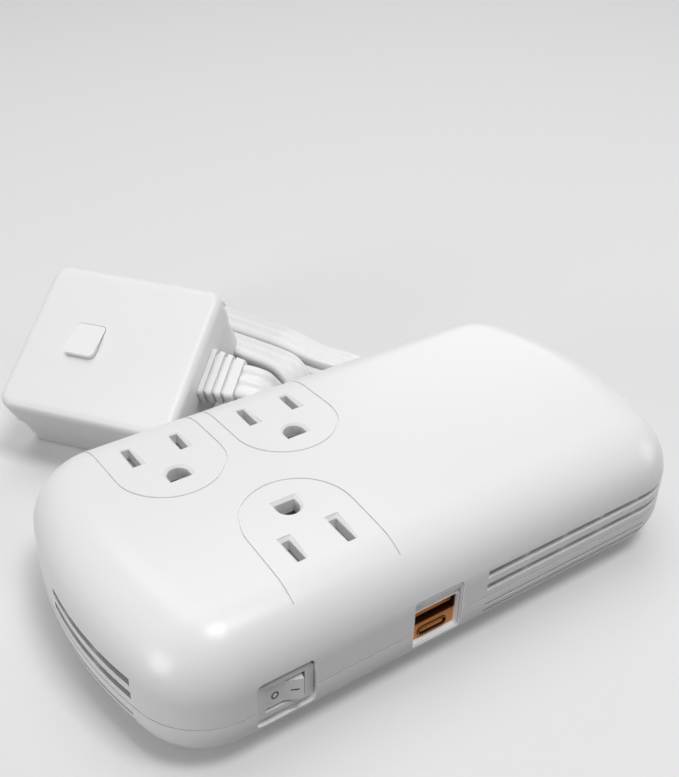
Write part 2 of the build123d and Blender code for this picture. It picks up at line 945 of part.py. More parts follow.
def contact_tail(x, y, base_z):
    """The solder tail under a contact."""
    return block(
        (x - contact_thickness / 2, y - contact_tail_width / 2, carrier_low - contact_tail_drop),
        (x + contact_thickness / 2, y + contact_tail_width / 2, base_z + contact_thickness / 2),
    )


def ground_contact():
    """A slit brass tube that grips the ground pin."""
    base_z = carrier_low + carrier_floor
    top_z = base_z + ground_contact_height
    tube = rod(ground_contact_radius, (0, ground_hole_y, base_z), (0, ground_hole_y, top_z))
    tube -= rod(
        ground_contact_bore, (0, ground_hole_y, base_z + contact_thickness), (0, ground_hole_y, top_z)
    )
    slit_half = ground_contact_slit / 2
    slit_low = base_z + 2 * contact_thickness
    tube -= block(
        (-slit_half, ground_hole_y, slit_low), (slit_half, ground_hole_y + 2 * ground_contact_radius, top_z)
    )
    return tube + contact_tail(0, ground_hole_y, base_z)


def carrier_screws():
    head_args = (carrier_screw_radius, carrier_screw_head_radius, carrier_screw_head_height)
    one = [screw(*head_args, x, y, carrier_screw_seat, carrier_screw_top) for x, y in carrier_screw_spots()]
    return [place * piece for place in outlet_places for piece in one]


# Power switch


def switch_housing():
    """The snap-in body with its bezel, open at the front for the rocker."""
    bezel_front_y = recess_floor_y - bezel_thickness
    bezel = side_panel(
        bezel_width, bezel_height, bezel_corner, switch_x, switch_z, bezel_front_y, recess_floor_y
    )
    body = block(
        (switch_x - switch_body_width / 2, recess_floor_y, switch_z - switch_body_height / 2),
        (switch_x + switch_body_width / 2, switch_body_back_y, switch_z + switch_body_height / 2),
    )
    well_width = rocker_width + 2 * rocker_clearance
    well_height = rocker_height + 2 * rocker_clearance
    well = block(
        (switch_x - well_width / 2, bezel_front_y, switch_z - well_height / 2),
        (switch_x + well_width / 2, bezel_front_y + rocker_well_depth, switch_z + well_height / 2),
    )
    pivot_reach = rocker_height / 2 + rocker_pivot_reach + fit_clearance
    pivot = rod(
        rocker_pivot_radius + fan_bearing_clearance,
        (switch_x, rocker_pivot_y, switch_z - pivot_reach),
        (switch_x, rocker_pivot_y, switch_z + pivot_reach),
    )
    return bezel + body - well - pivot


def rocker():
    """The rocker, a shallow V with a pivot across it, at rest with its off side pressed."""
    half = rocker_width / 2
    heel = half * rocker_heel_share
    profile = Polyline(
        (-half, rocker_crest),
        (0, rocker_crest - rocker_dip),
        (half, rocker_crest),
        (half, -rocker_waist),
        (heel, -rocker_heel),
        (-heel, -rocker_heel),
        (-half, -rocker_waist),
        close=True,
    )
    front = Plane(origin=(0, 0, -rocker_height / 2), x_dir=(-1, 0, 0), z_dir=(0, 0, 1))
    body = extrude(front * make_face(profile), rocker_height)
    reach = rocker_height / 2 + rocker_pivot_reach
    body += rod(rocker_pivot_radius, (0, 0, -reach), (0, 0, reach))
    return Pos(switch_x, rocker_pivot_y, switch_z) * Rot(0, 0, rocker_rest_angle) * body


def switch_terminals():
    spots = (switch_x - switch_terminal_spacing / 2, switch_x + switch_terminal_spacing / 2)
    half = switch_terminal_width / 2
    return [
        block(
            (x - half, switch_body_back_y, switch_z - switch_terminal_height / 2),
            (x + half, switch_body_back_y + switch_terminal_length, switch_z + switch_terminal_height / 2),
        )
        for x in spots
    ]


# USB ports

usb_port_front_y = usb_plate_front_y - usb_port_proud


def port_panel(width, height, corner, z, grow, front_y, back_y):
    """The section of one USB port, grown on every side and carried between two depths."""
    return side_panel(
        width + 2 * grow, height + 2 * grow, corner + grow, usb_port_x, z, front_y, back_y
    )


def usb_faceplate():
    """The coloured plate behind the window, with one hole for each port."""
    plate = side_panel(
        usb_window_width + 2 * usb_plate_margin,
        usb_window_height + 2 * usb_plate_margin,
        usb_window_corner,
        usb_window_x,
        usb_window_z,
        usb_plate_front_y,
        usb_plate_front_y + usb_plate_thickness,
    )
    low_y = usb_port_front_y - overrun
    high_y = usb_port_front_y + overrun
    plate -= port_panel(usb_a_width, usb_a_height, usb_a_corner, usb_a_z, fit_clearance, low_y, high_y)
    plate -= port_panel(usb_c_width, usb_c_height, usb_c_corner, usb_c_z, fit_clearance, low_y, high_y)
    return plate


def usb_shell(width, height, corner, z):
    """The pressed metal shell of one port, open in front."""
    outside = port_panel(width, height, corner, z, 0, usb_port_front_y, usb_port_back_y)
    inside = port_panel(width, height, corner, z, -usb_metal, usb_port_front_y, usb_port_back_y - usb_metal)
    return outside - inside


def usb_tongue(width, thickness, shell_width, shell_height, corner, z, rise):
    """The moulded insert of one port: a block at the back and the tongue that carries the contacts."""
    back_y = usb_port_back_y - usb_metal
    front_y = usb_port_front_y + usb_tongue_setback
    grow = -usb_metal - fit_clearance
    base = port_panel(shell_width, shell_height, corner, z, grow, back_y - usb_back_thickness, back_y)
    tongue = block(
        (usb_port_x - width / 2, front_y, z + rise - thickness / 2),
        (usb_port_x + width / 2, back_y - usb_back_thickness / 2, z + rise + thickness / 2),
    )
    return base + tongue


def usb_board():
    """The upright board that the ports are soldered to."""
    return block(
        (usb_window_low_x - usb_board_margin, usb_port_back_y, board_low + board_thickness),
        (usb_window_high_x + usb_board_margin, usb_port_back_y + board_thickness, usb_board_top),
    )


# Boards and cooling fan

board_top = board_low + board_thickness


def main_board():
    """The main board, cut back for the fan and holed for the case posts and its own screws."""
    board = extrude(Pos(0, 0, board_low) * case_outline(board_inset), board_thickness)
    reach = case_length
    board &= block((board_left_x, -reach, 0), (reach, reach, case_height))
    for x, y in case_post_spots():
        board -= rod(case_post_radius + board_hole_clearance, (x, y, 0), (x, y, case_height))
    for x, y in board_post_spots():
        board -= rod(board_screw_radius + fit_clearance, (x, y, 0), (x, y, case_height))
    return board


def board_screws():
    radius = board_screw_radius
    tip = board_low - board_screw_depth + fit_clearance
    return [
        screw(radius, carrier_screw_head_radius, carrier_screw_head_height, x, y, board_top, tip)
        for x, y in board_post_spots()
    ]


def control_board():
    """The upright control board with its chip."""
    board = block(
        (control_board_x, control_board_low_y, board_top),
        (control_board_x + board_thickness, control_board_high_y, control_board_top),
    )
    middle_y = (control_board_low_y + control_board_high_y) / 2
    middle_z = (board_top + control_board_top) / 2
    chip_x = control_board_x - control_chip_thickness
    chip = block(
        (chip_x, middle_y - control_chip_width / 2, middle_z - control_chip_height / 2),
        (control_board_x, middle_y + control_chip_width / 2, middle_z + control_chip_height / 2),
    )
    return board + chip


fan_stator_x = fan_left_x + fan_thickness - fan_stator_thickness


def fan_frame():
    """The square frame with its round duct, its spokes and the bearing of the rotor."""
    half = fan_size / 2
    frame = block(
        (fan_left_x, fan_y - half, fan_z - half), (fan_left_x + fan_thickness, fan_y + half, fan_z + half)
    )
    right_x = fan_left_x + fan_thickness
    frame -= rod(fan_duct_radius, (fan_left_x, fan_y, fan_z), (right_x, fan_y, fan_z))
    stator = rod(fan_hub_radius, (fan_stator_x, fan_y, fan_z), (right_x, fan_y, fan_z))
    reach = (fan_duct_radius + fan_size / 2) / 2
    spoke_half = fan_spoke_width / 2
    stator += block(
        (fan_stator_x, fan_y - reach, fan_z - spoke_half), (right_x, fan_y + reach, fan_z + spoke_half)
    )
    stator += block(
        (fan_stator_x, fan_y - spoke_half, fan_z - reach), (right_x, fan_y + spoke_half, fan_z + reach)
    )
    bearing = rod(
        fan_shaft_radius + fan_bearing_clearance, (fan_stator_x, fan_y, fan_z), (right_x, fan_y, fan_z)
    )
    frame += stator - bearing
    for y in (fan_y - fan_hole_offset, fan_y + fan_hole_offset):
        for z in (fan_z - fan_hole_offset, fan_z + fan_hole_offset):
            frame -= rod(fan_hole_radius, (fan_left_x, y, z), (right_x, y, z))
    return frame


def fan_rotor():
    """The hub with its pitched blades and the shaft that runs in the stator."""
    hub_left = fan_left_x + fan_running_gap
    hub_right = fan_stator_x - fan_running_gap
    rotor = rod(fan_hub_radius, (hub_left, 0, 0), (hub_right, 0, 0))
    root = fan_hub_radius - fan_blade_root
    blade = Box(fan_blade_chord, fan_blade_thickness, fan_blade_radius - root)
    blade_place = Pos((hub_left + hub_right) / 2, 0, (fan_blade_radius + root) / 2) * Rot(
        0, 0, fan_blade_pitch
    )
    for index in range(fan_blade_count):
        rotor += Rot(360 * index / fan_blade_count, 0, 0) * (blade_place * blade)
    rotor += rod(fan_shaft_radius, (hub_left, 0, 0), (fan_left_x + fan_thickness, 0, 0))
    return Pos(0, fan_y, fan_z) * rotor


# Power electronics


def bulk_capacitors():
    """Round cans standing on the board, each with the rolled groove near its foot."""
    spots = [
        (capacitor_near_x, capacitor_near_y),
        (capacitor_near_x, capacitor_far_y),
        (capacitor_right_x, capacitor_near_y),
    ]
    cans = []
    for x, y in spots:
        can = rod(capacitor_radius, (x, y, board_top), (x, y, board_top + capacitor_height))
        low = board_top + capacitor_groove_height
        groove = rod(capacitor_radius, (x, y, low), (x, y, low + capacitor_groove_width))
        core = rod(
            capacitor_radius - capacitor_groove_depth, (x, y, low), (x, y, low + capacitor_groove_width)
        )
        cans.append(can - (groove - core))
    return cans


def transformer_limb_block(grow):
    """The middle limb of the core, grown on every side."""
    return block(
        (transformer_x - transformer_limb - grow, transformer_y - transformer_depth / 2, board_top),
        (
            transformer_x + transformer_limb + grow,
            transformer_y + transformer_depth / 2,
            board_top + transformer_height,
        ),
    )


def transformer_core():
    """The laminated core, a block with two windows beside its middle limb."""
    half = transformer_length / 2
    reach = transformer_depth / 2
    core = block(
        (transformer_x - half, transformer_y - reach, board_top),
        (transformer_x + half, transformer_y + reach, board_top + transformer_height),
    )
    outer = half - transformer_limb / 2
    for side in (-1, 1):
        near, far = sorted((transformer_x + side * transformer_limb, transformer_x + side * outer))
        core -= block(
            (near, transformer_y - reach, board_top + transformer_limb),
            (far, transformer_y + reach, board_top + transformer_height - transformer_limb),
        )
    return core


def transformer_winding():
    """The winding round the middle limb, filling the windows and standing out on both sides."""
    half = transformer_length / 2 - transformer_limb / 2 - fit_clearance
    reach = transformer_depth / 2 + transformer_winding_proud
    winding = block(
        (transformer_x - half, transformer_y - reach, board_top + transformer_limb + fit_clearance),
        (
            transformer_x + half,
            transformer_y + reach,
            board_top + transformer_height - transformer_limb - fit_clearance,
        ),
    )
    return winding - transformer_limb_block(fit_clearance)


def heat_sink(side):
    """A finned plate near one long wall."""
    near_y = side * heat_sink_y
    far_y = side * (heat_sink_y + heat_sink_thickness)
    low_x = heat_sink_x - heat_sink_length / 2
    plate = block(
        (low_x, min(near_y, far_y), board_top),
        (low_x + heat_sink_length, max(near_y, far_y), board_top + heat_sink_height),
    )
    fin_y = far_y + side * heat_sink_fin_depth
    pitch = (heat_sink_length - heat_sink_fin_width) / (heat_sink_fins - 1)
    for index in range(heat_sink_fins):
        x = low_x + pitch * index
        plate += block(
            (x, min(far_y, fin_y), board_top),
            (x + heat_sink_fin_width, max(far_y, fin_y), board_top + heat_sink_height),
        )
    return plate


def power_transistors():
    """Two flat transistors on the inner face of each heat sink, standing on their legs."""
    pieces = []
    for side in (-1, 1):
        for offset_x in (-transistor_spacing / 2, transistor_spacing / 2):
            x = heat_sink_x + offset_x
            inner_y = side * (heat_sink_y - transistor_thickness)
            outer_y = side * heat_sink_y
            low = board_top + transistor_rise
            body = block(
                (x - transistor_width / 2, min(inner_y, outer_y), low),
                (x + transistor_width / 2, max(inner_y, outer_y), low + transistor_height),
            )
            middle_y = (inner_y + outer_y) / 2
            half = transistor_leg / 2
            for leg in (-1, 0, 1):
                leg_x = x + leg * transistor_leg_spacing
                body += block(
                    (leg_x - half, middle_y - half, board_top), (leg_x + half, middle_y + half, low + half)
                )
            pieces.append(body)
    return pieces


def choke_core():
    """The ring core of the choke."""
    low = (choke_x, choke_y, board_top + choke_winding)
    high = (choke_x, choke_y, board_top + choke_winding + choke_height)
    return rod(choke_outer_radius, low, high) - rod(choke_inner_radius, low, high)


def choke_winding_ring():
    """The winding round the ring core, open where the core shows between its ends."""
    low = (choke_x, choke_y, board_top)
    high = (choke_x, choke_y, board_top + choke_height + 2 * choke_winding)
    ring = rod(choke_outer_radius + choke_winding, low, high) - rod(
        choke_inner_radius - choke_winding, low, high
    )
    reach = choke_outer_radius + choke_winding + overrun
    gap = block(
        (choke_x, choke_y - choke_gap_width / 2, board_top),
        (choke_x + reach, choke_y + choke_gap_width / 2, high[2]),
    )
    return ring - gap - choke_core()


def line_fuse():
    """A glass fuse with its two end caps."""
    low_y = fuse_y - fuse_length / 2
    high_y = fuse_y + fuse_length / 2
    inner_low = low_y + fuse_cap_length
    inner_high = high_y - fuse_cap_length
    tube = rod(fuse_radius, (fuse_x, inner_low, fuse_axis_height), (fuse_x, inner_high, fuse_axis_height))
    low_cap = rod(fuse_cap_radius, (fuse_x, low_y, fuse_axis_height), (fuse_x, inner_low, fuse_axis_height))
    high_cap = rod(
        fuse_cap_radius, (fuse_x, inner_high, fuse_axis_height), (fuse_x, high_y, fuse_axis_height)
    )
    return [tube, low_cap, high_cap]


def fuse_clips():
    """The two spring clips that hold the fuse caps."""
    clips = []
    outer = fuse_cap_radius + fit_clearance + fuse_clip_thickness
    for side in (-1, 1):
        y = fuse_y + side * (fuse_length - fuse_cap_length) / 2
        low_y = y - fuse_clip_width / 2
        high_y = y + fuse_clip_width / 2
        clip = block(
            (fuse_x - outer, low_y, board_top),
            (fuse_x + outer, high_y, fuse_axis_height + fuse_clip_thickness),
        )
        clip -= rod(
            fuse_cap_radius + fit_clearance,
            (fuse_x, low_y, fuse_axis_height),
            (fuse_x, high_y, fuse_axis_height),
        )
        clips.append(clip)
    return clips


# Strain reliefs


def strain_relief(width, height, length, flanges):
    """A ribbed sleeve along +Z: inner flange, neck through the wall, and tapering outer part."""
    flange = extrude(
        Pos(0, 0, -relief_wall_reach - relief_flange_thickness)
        * RectangleRounded(relief_flange_width, relief_flange_height, relief_corner),
        relief_flange_thickness,
    )
    neck = extrude(
        Pos(0, 0, -relief_wall_reach)
        * RectangleRounded(relief_neck_width, relief_neck_height, relief_corner),
        relief_wall_reach + relief_corner,
    )
    tip_width = ribbon_width + 2 * relief_tip_wall
    tip_height = ribbon_thickness + 2 * relief_tip_wall
    root = Pos(0, 0, fit_clearance) * RectangleRounded(width, height, relief_corner)
    tip = Pos(0, 0, length) * RectangleRounded(tip_width, tip_height, relief_corner)
    sleeve = loft([root, tip])
    pitch = length / (flanges + 1)
    for index in range(flanges):
        low = fit_clearance + pitch * (index + relief_flange_share)
        high = low + pitch * relief_groove_share
        share = (low + high) / 2 / length
        groove_width = width + (tip_width - width) * share
        groove_height = height + (tip_height - height) * share
        ring = RectangleRounded(width + overrun, height + overrun, relief_corner)
        core = RectangleRounded(
            groove_width - 2 * relief_groove_depth, groove_height - 2 * relief_groove_depth, relief_corner / 2
        )
        sleeve -= extrude(Pos(0, 0, low) * (ring - core), high - low)
    return flange + neck + sleeve


inlet_place = Location(
    Plane(origin=(inlet_x, case_width / 2, seam_height), x_dir=(-1, 0, 0), z_dir=(0, 1, 0))
)


# Plug head
# Its own frame: +X along the width, +Y up the tilted face, +Z out of the face.

head_yaw_radians = math.radians(head_yaw)
head_tilt_radians = math.radians(head_tilt)
head_across = Vector(math.cos(head_yaw_radians), math.sin(head_yaw_radians), 0)
head_back = Vector(-math.sin(head_yaw_radians), math.cos(head_yaw_radians), 0)
head_normal = Vector(0, 0, math.cos(head_tilt_radians)) - head_back * math.sin(head_tilt_radians)
head_lower_edge = head_length / 2 - head_base_inset
head_face_height = head_lower_edge * math.sin(head_tilt_radians) + head_thickness * math.cos(
    head_tilt_radians
)
head_place = Location(
    Plane(origin=(head_x, head_y, head_face_height), x_dir=head_across, z_dir=head_normal)
)
pin_reach = head_thickness + pin_length - pin_radius
pin_row_y = (
    pin_reach * math.cos(head_tilt_radians) + pin_radius - head_face_height
) / math.sin(head_tilt_radians)


def head_block(inset, low, high):
    """A layer of the plug head between two depths, drawn in by an inset."""
    corner = head_corner - inset if head_corner > inset else head_corner / 2
    face = RectangleRounded(head_width - 2 * inset, head_length - 2 * inset, corner)
    return extrude(Pos(0, 0, low) * face, high - low)


def head_screw_spots():
    return [(x, y) for x in (-head_screw_x, head_screw_x) for y in (-head_screw_y, head_screw_y)]


def head_relief_hole():
    """The hole in the side wall for the neck of the strain relief."""
    half_width = relief_neck_width / 2 + fit_clearance
    half_height = relief_neck_height / 2 + fit_clearance
    return block(
        (head_width / 4, head_relief_y - half_width, -head_relief_depth - half_height),
        (head_width, head_relief_y + half_width, -head_relief_depth + half_height),
    )


def button_outline(grow):
    return Pos(button_x, button_y) * RectangleRounded(
        button_width + 2 * grow, button_length + 2 * grow, button_corner + grow
    )


head_relief_place = Location(
    Plane(origin=(head_width / 2, head_relief_y, -head_relief_depth), x_dir=(0, 1, 0), z_dir=(1, 0, 0))
)


def plug_cover():
    """The upper half of the plug head, soft at its rim, with the hole for the button."""
    cover = head_block(0, -head_seam_depth, 0)
    cover = fillet(cover.edges().group_by(Axis.Z)[-1], head_edge_radius)
    cover -= head_block(head_wall, -head_seam_depth, -head_wall)
    for x, y in head_screw_spots():
        cover += rod(head_post_radius, (x, y, -head_seam_depth), (x, y, -head_wall))
    for x, y in head_screw_spots():
        depth = -head_seam_depth + head_screw_reach + fit_clearance
        cover -= rod(head_screw_radius + screw_clearance, (x, y, -head_seam_depth), (x, y, depth))
    cover -= extrude(
        Pos(0, 0, -head_wall - overrun) * button_outline(sliding_clearance), head_wall + 2 * overrun
    )
    return cover - head_relief_hole()


def plug_base():
    """The lower half of the plug head, with its lip, its posts and the holes for the pins."""
    base = head_block(head_base_inset, -head_thickness, -head_seam_depth)
    base = fillet(base.edges().group_by(Axis.Z)[0], head_base_radius)
    base -= head_block(head_wall + head_base_inset, -head_thickness + head_floor, -head_seam_depth)
    lip_outer = head_wall + fit_clearance
    lip = head_block(lip_outer, -head_seam_depth - head_lip_rise, -head_seam_depth + head_lip_rise)
    lip -= head_block(lip_outer + head_lip_wall, -head_thickness, 0)
    lip -= head_relief_place * Box(
        relief_flange_width + head_wall, relief_flange_height + head_wall, head_width / 2
    )
    base += lip
    for x, y in head_screw_spots():
        base += rod(head_post_radius, (x, y, -head_thickness + head_floor / 2), (x, y, -head_seam_depth))
    for x, y in head_screw_spots():
        base -= rod(head_screw_radius + fit_clearance, (x, y, -head_thickness), (x, y, -head_seam_depth))
        seat = -head_thickness + head_screw_seat
        base -= rod(head_screw_head_radius + fit_clearance, (x, y, -head_thickness), (x, y, seat))
    for x in (-pin_spacing / 2, pin_spacing / 2):
        base -= rod(
            pin_root_radius + screw_clearance,
            (x, pin_row_y, -head_thickness),
            (x, pin_row_y, -head_thickness + head_floor),
        )
    return base - head_relief_hole()


def plug_screws():
    seat = -head_thickness + head_screw_seat
    tip = -head_seam_depth + head_screw_reach
    return [
        screw(head_screw_radius, head_screw_head_radius, head_screw_head_height, x, y, seat, tip)
        for x, y in head_screw_spots()
    ]


def plug_pin_plate():
    """The moulded plate that holds the pins, with the post under the button's spring."""
    low = -head_thickness + head_floor
    high = low + pin_plate_thickness
    plate = block(
        (-pin_plate_half_width, pin_plate_low_y, low), (pin_plate_half_width, pin_plate_high_y, high)
    )
    post_top = -button_depth - button_spring_length
    plate += rod(spring_post_radius, (button_x, button_y, low), (button_x, button_y, post_top))
    for x in (-pin_spacing / 2, pin_spacing / 2):
        plate -= rod(pin_root_radius + screw_clearance, (x, pin_row_y, low), (x, pin_row_y, high))
    return plate


def plug_pins():
    """Two round pins with rounded tips and thicker roots, each with a solder cup above the pin plate."""
    pins = []
    top = -head_thickness + head_floor + pin_plate_thickness
    tip = -head_thickness - pin_length
    for x in (-pin_spacing / 2, pin_spacing / 2):
        pin = rod(pin_radius, (x, pin_row_y, tip), (x, pin_row_y, top))
        pin = fillet(pin.edges().group_by(Axis.Z)[0], pin_radius - screw_clearance)
        pin += rod(pin_root_radius, (x, pin_row_y, -head_thickness - pin_root_proud), (x, pin_row_y, top))
        pin += rod(pin_cup_radius, (x, pin_row_y, top), (x, pin_row_y, top + pin_cup_height))
        pin -= rod(
            pin_cup_bore, (x, pin_row_y, top + pin_cup_height / 2), (x, pin_row_y, top + pin_cup_height)
        )
        pins.append(pin)
    return pins


def plug_button():
    """The button: a wedge that stands proud at its lower end, over a flange that stops it under the face."""
    stem = extrude(Pos(0, 0, -button_depth) * button_outline(0), button_depth + button_rise)
    tilt = math.degrees(math.atan2(button_rise, button_length))
    top = Pos(button_x, button_y + button_length / 2, 0) * Rot(-tilt, 0, 0)
    stem -= top * block((-head_width, -head_width, 0), (head_width, head_width, head_width))
    flange_top = -head_wall - fit_clearance
    flange_low = flange_top - button_flange_thickness
    flange = extrude(Pos(0, 0, flange_low) * button_outline(button_flange_width), flange_top - flange_low)
    return stem + flange


def plug_button_spring():
    start = (button_x, button_y, -button_depth - button_spring_length + fit_clearance)
    end = (button_x, button_y, -button_depth - fit_clearance)
    return coil_spring(button_spring_radius, button_spring_wire_radius, button_spring_turns, start, end)


# Cord

hank_run = Vector(hank_far[0] - hank_near[0], hank_far[1] - hank_near[1], 0)
hank_length = hank_run.length
hank_along = hank_run.normalized()
hank_side = Vector(hank_along.Y, -hank_along.X, 0)
lower_outer = ribbon_thickness / 2 + hank_floor_gap
lower_inner = lower_outer + hank_layer_pitch
upper_inner = lower_inner + 2 * hank_inner_radius
upper_outer = upper_inner + hank_layer_pitch
layer_heights = [lower_outer, lower_inner, upper_inner, upper_outer]
waist_heights = [
    lower_outer + hank_waist_lift,
    lower_inner + hank_waist_lift,
    hank_waist_height - hank_layer_pitch,
    hank_waist_height,
]


def hank_point(reach, column, height):
    """A point of the hank: how far along it, in which column, and how high."""
    place = Vector(*hank_near, 0) + hank_along * reach + hank_side * (column * hank_column_pitch / 2)
    return (place.X, place.Y, height)


def slope_height(layer, reach):
    """The height of a layer where it slopes between its near loop and the waist."""
    share = (reach - hank_flat_length) / (
        hank_length * hank_waist_share - hank_waist_half - hank_flat_length
    )
    return layer_heights[layer] + (waist_heights[layer] - layer_heights[layer]) * share


def hank_stretch(layer, start, end, columns, shift_at):
    """One run of the hank between its loops: it meets the others at the waist, and may change column.

    start and end are places along the hank, and shift_at is the stretch, 0 or 2, that changes column."""
    waist = hank_length * hank_waist_share
    sign = 1 if end > start else -1
    marks = [
        (start, layer_heights[layer]),
        (waist - sign * hank_waist_half, waist_heights[layer]),
        (waist + sign * hank_waist_half, waist_heights[layer]),
        (end, layer_heights[layer]),
    ]
    points = []
    column = columns[0]
    for index, (reach, height) in enumerate(marks):
        points.append((hank_point(reach, column, height), hank_bend_radius))
        if shift_at == index:
            next_reach, next_height = marks[index + 1]
            for share in (hank_shift_share, 1 - hank_shift_share):
                between = reach + (next_reach - reach) * share
                level = height + (next_height - height) * share
                points.append((hank_point(between, column, level), hank_shift_radius))
                column = columns[1]
    return points


def hank_loop(low_layer, high_layer, column, far, rising):
    """Half a turn at one end of the hank, as the three corners outside its arc."""
    low = layer_heights[low_layer]
    high = layer_heights[high_layer]
    radius = (high - low) / 2
    outside = radius / math.cos(math.pi / 6)
    corners = []
    for turn in (-1, 0, 1):
        angle = turn * math.pi / 3 * (1 if rising else -1)
        reach = outside * math.cos(angle)
        place = hank_length + reach if far else -reach
        height = (low + high) / 2 + outside * math.sin(angle)
        corners.append((hank_point(place, column, height), radius * hank_loop_share))
    return corners


def hank_route():
    """The corners of the hank with their radii, from the plug's lead to the case's."""
    near = hank_flat_length
    far = hank_length - hank_flat_length
    right = 1
    left = -1
    route = [(hank_point(hank_start_reach, right, slope_height(1, hank_start_reach)), 0)]
    route += hank_stretch(1, near, far, (right, right), None)[1:]
    route += hank_loop(1, 2, right, True, True)
    route += hank_stretch(2, far, near, (right, left), 2)
    route += hank_loop(1, 2, left, False, False)
    route += hank_stretch(1, near, far, (left, left), None)
    route += hank_loop(1, 3, left, True, True)
    route += hank_stretch(3, far, near, (left, left), None)
    route += hank_loop(0, 3, left, False, False)
    route += hank_stretch(0, near, far, (left, right), 0)
    route += hank_loop(0, 3, right, True, True)
    route += hank_stretch(3, far, near, (right, right), None)[:-1]
    return route + [(hank_point(hank_end_reach, right, slope_height(3, hank_end_reach)), 0)]


def hank_path():
    route = hank_route()
    points = [point for point, radius in route]
    radii = [radius for point, radius in route[1:-1]]
    return FilletPolyline(*points, radius=radii)


def cord_hank():
    """The hank: the flat ribbon carried along its route."""
    path = hank_path()
    profile = Plane(origin=path @ 0, x_dir=hank_side, z_dir=path % 0) * SlotOverall(
        ribbon_width, ribbon_thickness
    )
    return sweep(profile, path)


def route_radii(points):
    """The radius at each corner of a free stretch, as large as its two runs allow."""
    radii = []
    for before, corner, after in zip(points, points[1:], points[2:]):
        first = Vector(*corner) - Vector(*before)
        second = Vector(*after) - Vector(*corner)
        half_turn = math.radians(first.get_angle(second)) / 2
        radii.append(lead_arc_share * min(first.length, second.length) / math.tan(half_turn))
    return radii


def cord_lead(name, points):
    """A free stretch of the lead, as a round tube as thick as the ribbon."""
    radii = route_radii(points)
    path = FilletPolyline(*points, radius=radii)
    profile = Plane(origin=path @ 0, z_dir=path % 0) * Circle(lead_radius)
    tube = sweep(profile, path)
    expected = math.pi * lead_radius**2 * path.length
    print(f"{name}: radii {[round(r, 1) for r in radii]}, length {path.length:.1f}")
    print(f"{name}: volume over section times length {tube.volume / expected:.4f}")
    return tube


def print_hank_gap():
    """Prints the hank's length and the least gap between its turns, measured on points along it."""
    path = hank_path()
    count = round(path.length / gap_step)
    samples = [path @ (index / count) for index in range(count + 1)]
    skip = round(math.pi * hank_inner_radius / gap_step)
    nearest = path.length
    for index, point in enumerate(samples):
        for other in samples[index + skip :]:
            away = other - point
            flat = Vector(away.X, away.Y, 0)
            aside = abs(flat.dot(hank_side))
            upright = math.hypot(flat.dot(hank_along), away.Z)
            beside = max(0, aside - ribbon_width + ribbon_thickness)
            nearest = min(nearest, math.hypot(beside, upright) - ribbon_thickness)
    print(f"cord_hank: length {path.length:.1f}, least gap between turns {nearest:.2f}")


def hank_tie():
    """The band round the waist of the hank."""
    high = hank_waist_height + ribbon_thickness / 2 + tie_gap
    low = waist_heights[0] - ribbon_thickness / 2 - tie_gap
    half = hank_column_pitch / 2 + ribbon_width / 2 + tie_gap
    middle = hank_point(hank_length * hank_waist_share - tie_width / 2, 0, (high + low) / 2)
    plane = Plane(origin=middle, x_dir=hank_side, z_dir=hank_along)
    outside = RectangleRounded(
        2 * (half + tie_thickness), high - low + 2 * tie_thickness, tie_corner + tie_thickness
    )
    inside = RectangleRounded(2 * half, high - low, tie_corner)
    return extrude(plane * (outside - inside), tie_width)


# Nodes

save("top_shell", top_shell())
save("bottom_shell", bottom_shell())
save("case_screws", *case_screws())
save("rubber_feet", *rubber_feet())

carrier = outlet_carrier()
shutter_plate = shutter()
spring = shutter_spring()
for number, place in enumerate(outlet_places, 1):
    save(f"outlet_carrier_{number}", place * carrier)
    save(f"shutter_{number}", place * shutter_plate)
    save(f"shutter_spring_{number}", place * spring)
save("line_contacts", *[place * blade_contact(hot_slot_x) for place in outlet_places])
save("neutral_contacts", *[place * blade_contact(neutral_slot_x) for place in outlet_places])
save("ground_contacts", *[place * ground_contact() for place in outlet_places])
save("carrier_screws", *carrier_screws())

save("switch_housing", switch_housing())
save("switch_rocker", rocker())
save("switch_terminals", *switch_terminals())

usb_a = (usb_a_width, usb_a_height, usb_a_corner, usb_a_z)
usb_c = (usb_c_width, usb_c_height, usb_c_corner, usb_c_z)
save("usb_faceplate", usb_faceplate())
save("usb_a_shell", usb_shell(*usb_a))
save("usb_c_shell", usb_shell(*usb_c))
save("usb_a_insert", usb_tongue(usb_a_tongue_width, usb_a_tongue_thickness, *usb_a, usb_a_tongue_rise))
save("usb_c_insert", usb_tongue(usb_c_tongue_width, usb_c_tongue_thickness, *usb_c, 0))
save("usb_board", usb_board())

save("main_board", main_board())
save("board_screws", *board_screws())
save("control_board", control_board())
save("fan_frame", fan_frame())
save("fan_rotor", fan_rotor())
save("bulk_capacitors", *bulk_capacitors())
save("transformer_core", transformer_core())
save("transformer_winding", transformer_winding())
save("heat_sink_near", heat_sink(-1))
save("heat_sink_far", heat_sink(1))
save("power_transistors", *power_transistors())
save("choke_core", choke_core())
save("choke_winding", choke_winding_ring())
save("line_fuse", *line_fuse())
save("fuse_clips", *fuse_clips())

relief_root = (relief_root_width, relief_root_height)
save(
    "inlet_strain_relief",
    inlet_place * strain_relief(*relief_root, inlet_relief_length, inlet_relief_grooves),
)
save(
    "plug_strain_relief",
    head_place * head_relief_place * strain_relief(*relief_root, plug_relief_length, plug_relief_grooves),
)
save("plug_cover", head_place * plug_cover())
save("plug_base", head_place * plug_base())
save("plug_screws", *[head_place * piece for piece in plug_screws()])
save("plug_pin_plate", head_place * plug_pin_plate())
save("plug_pins", *[head_place * piece for piece in plug_pins()])
save("plug_button", head_place * plug_button())
save("plug_button_spring", head_place * plug_button_spring())

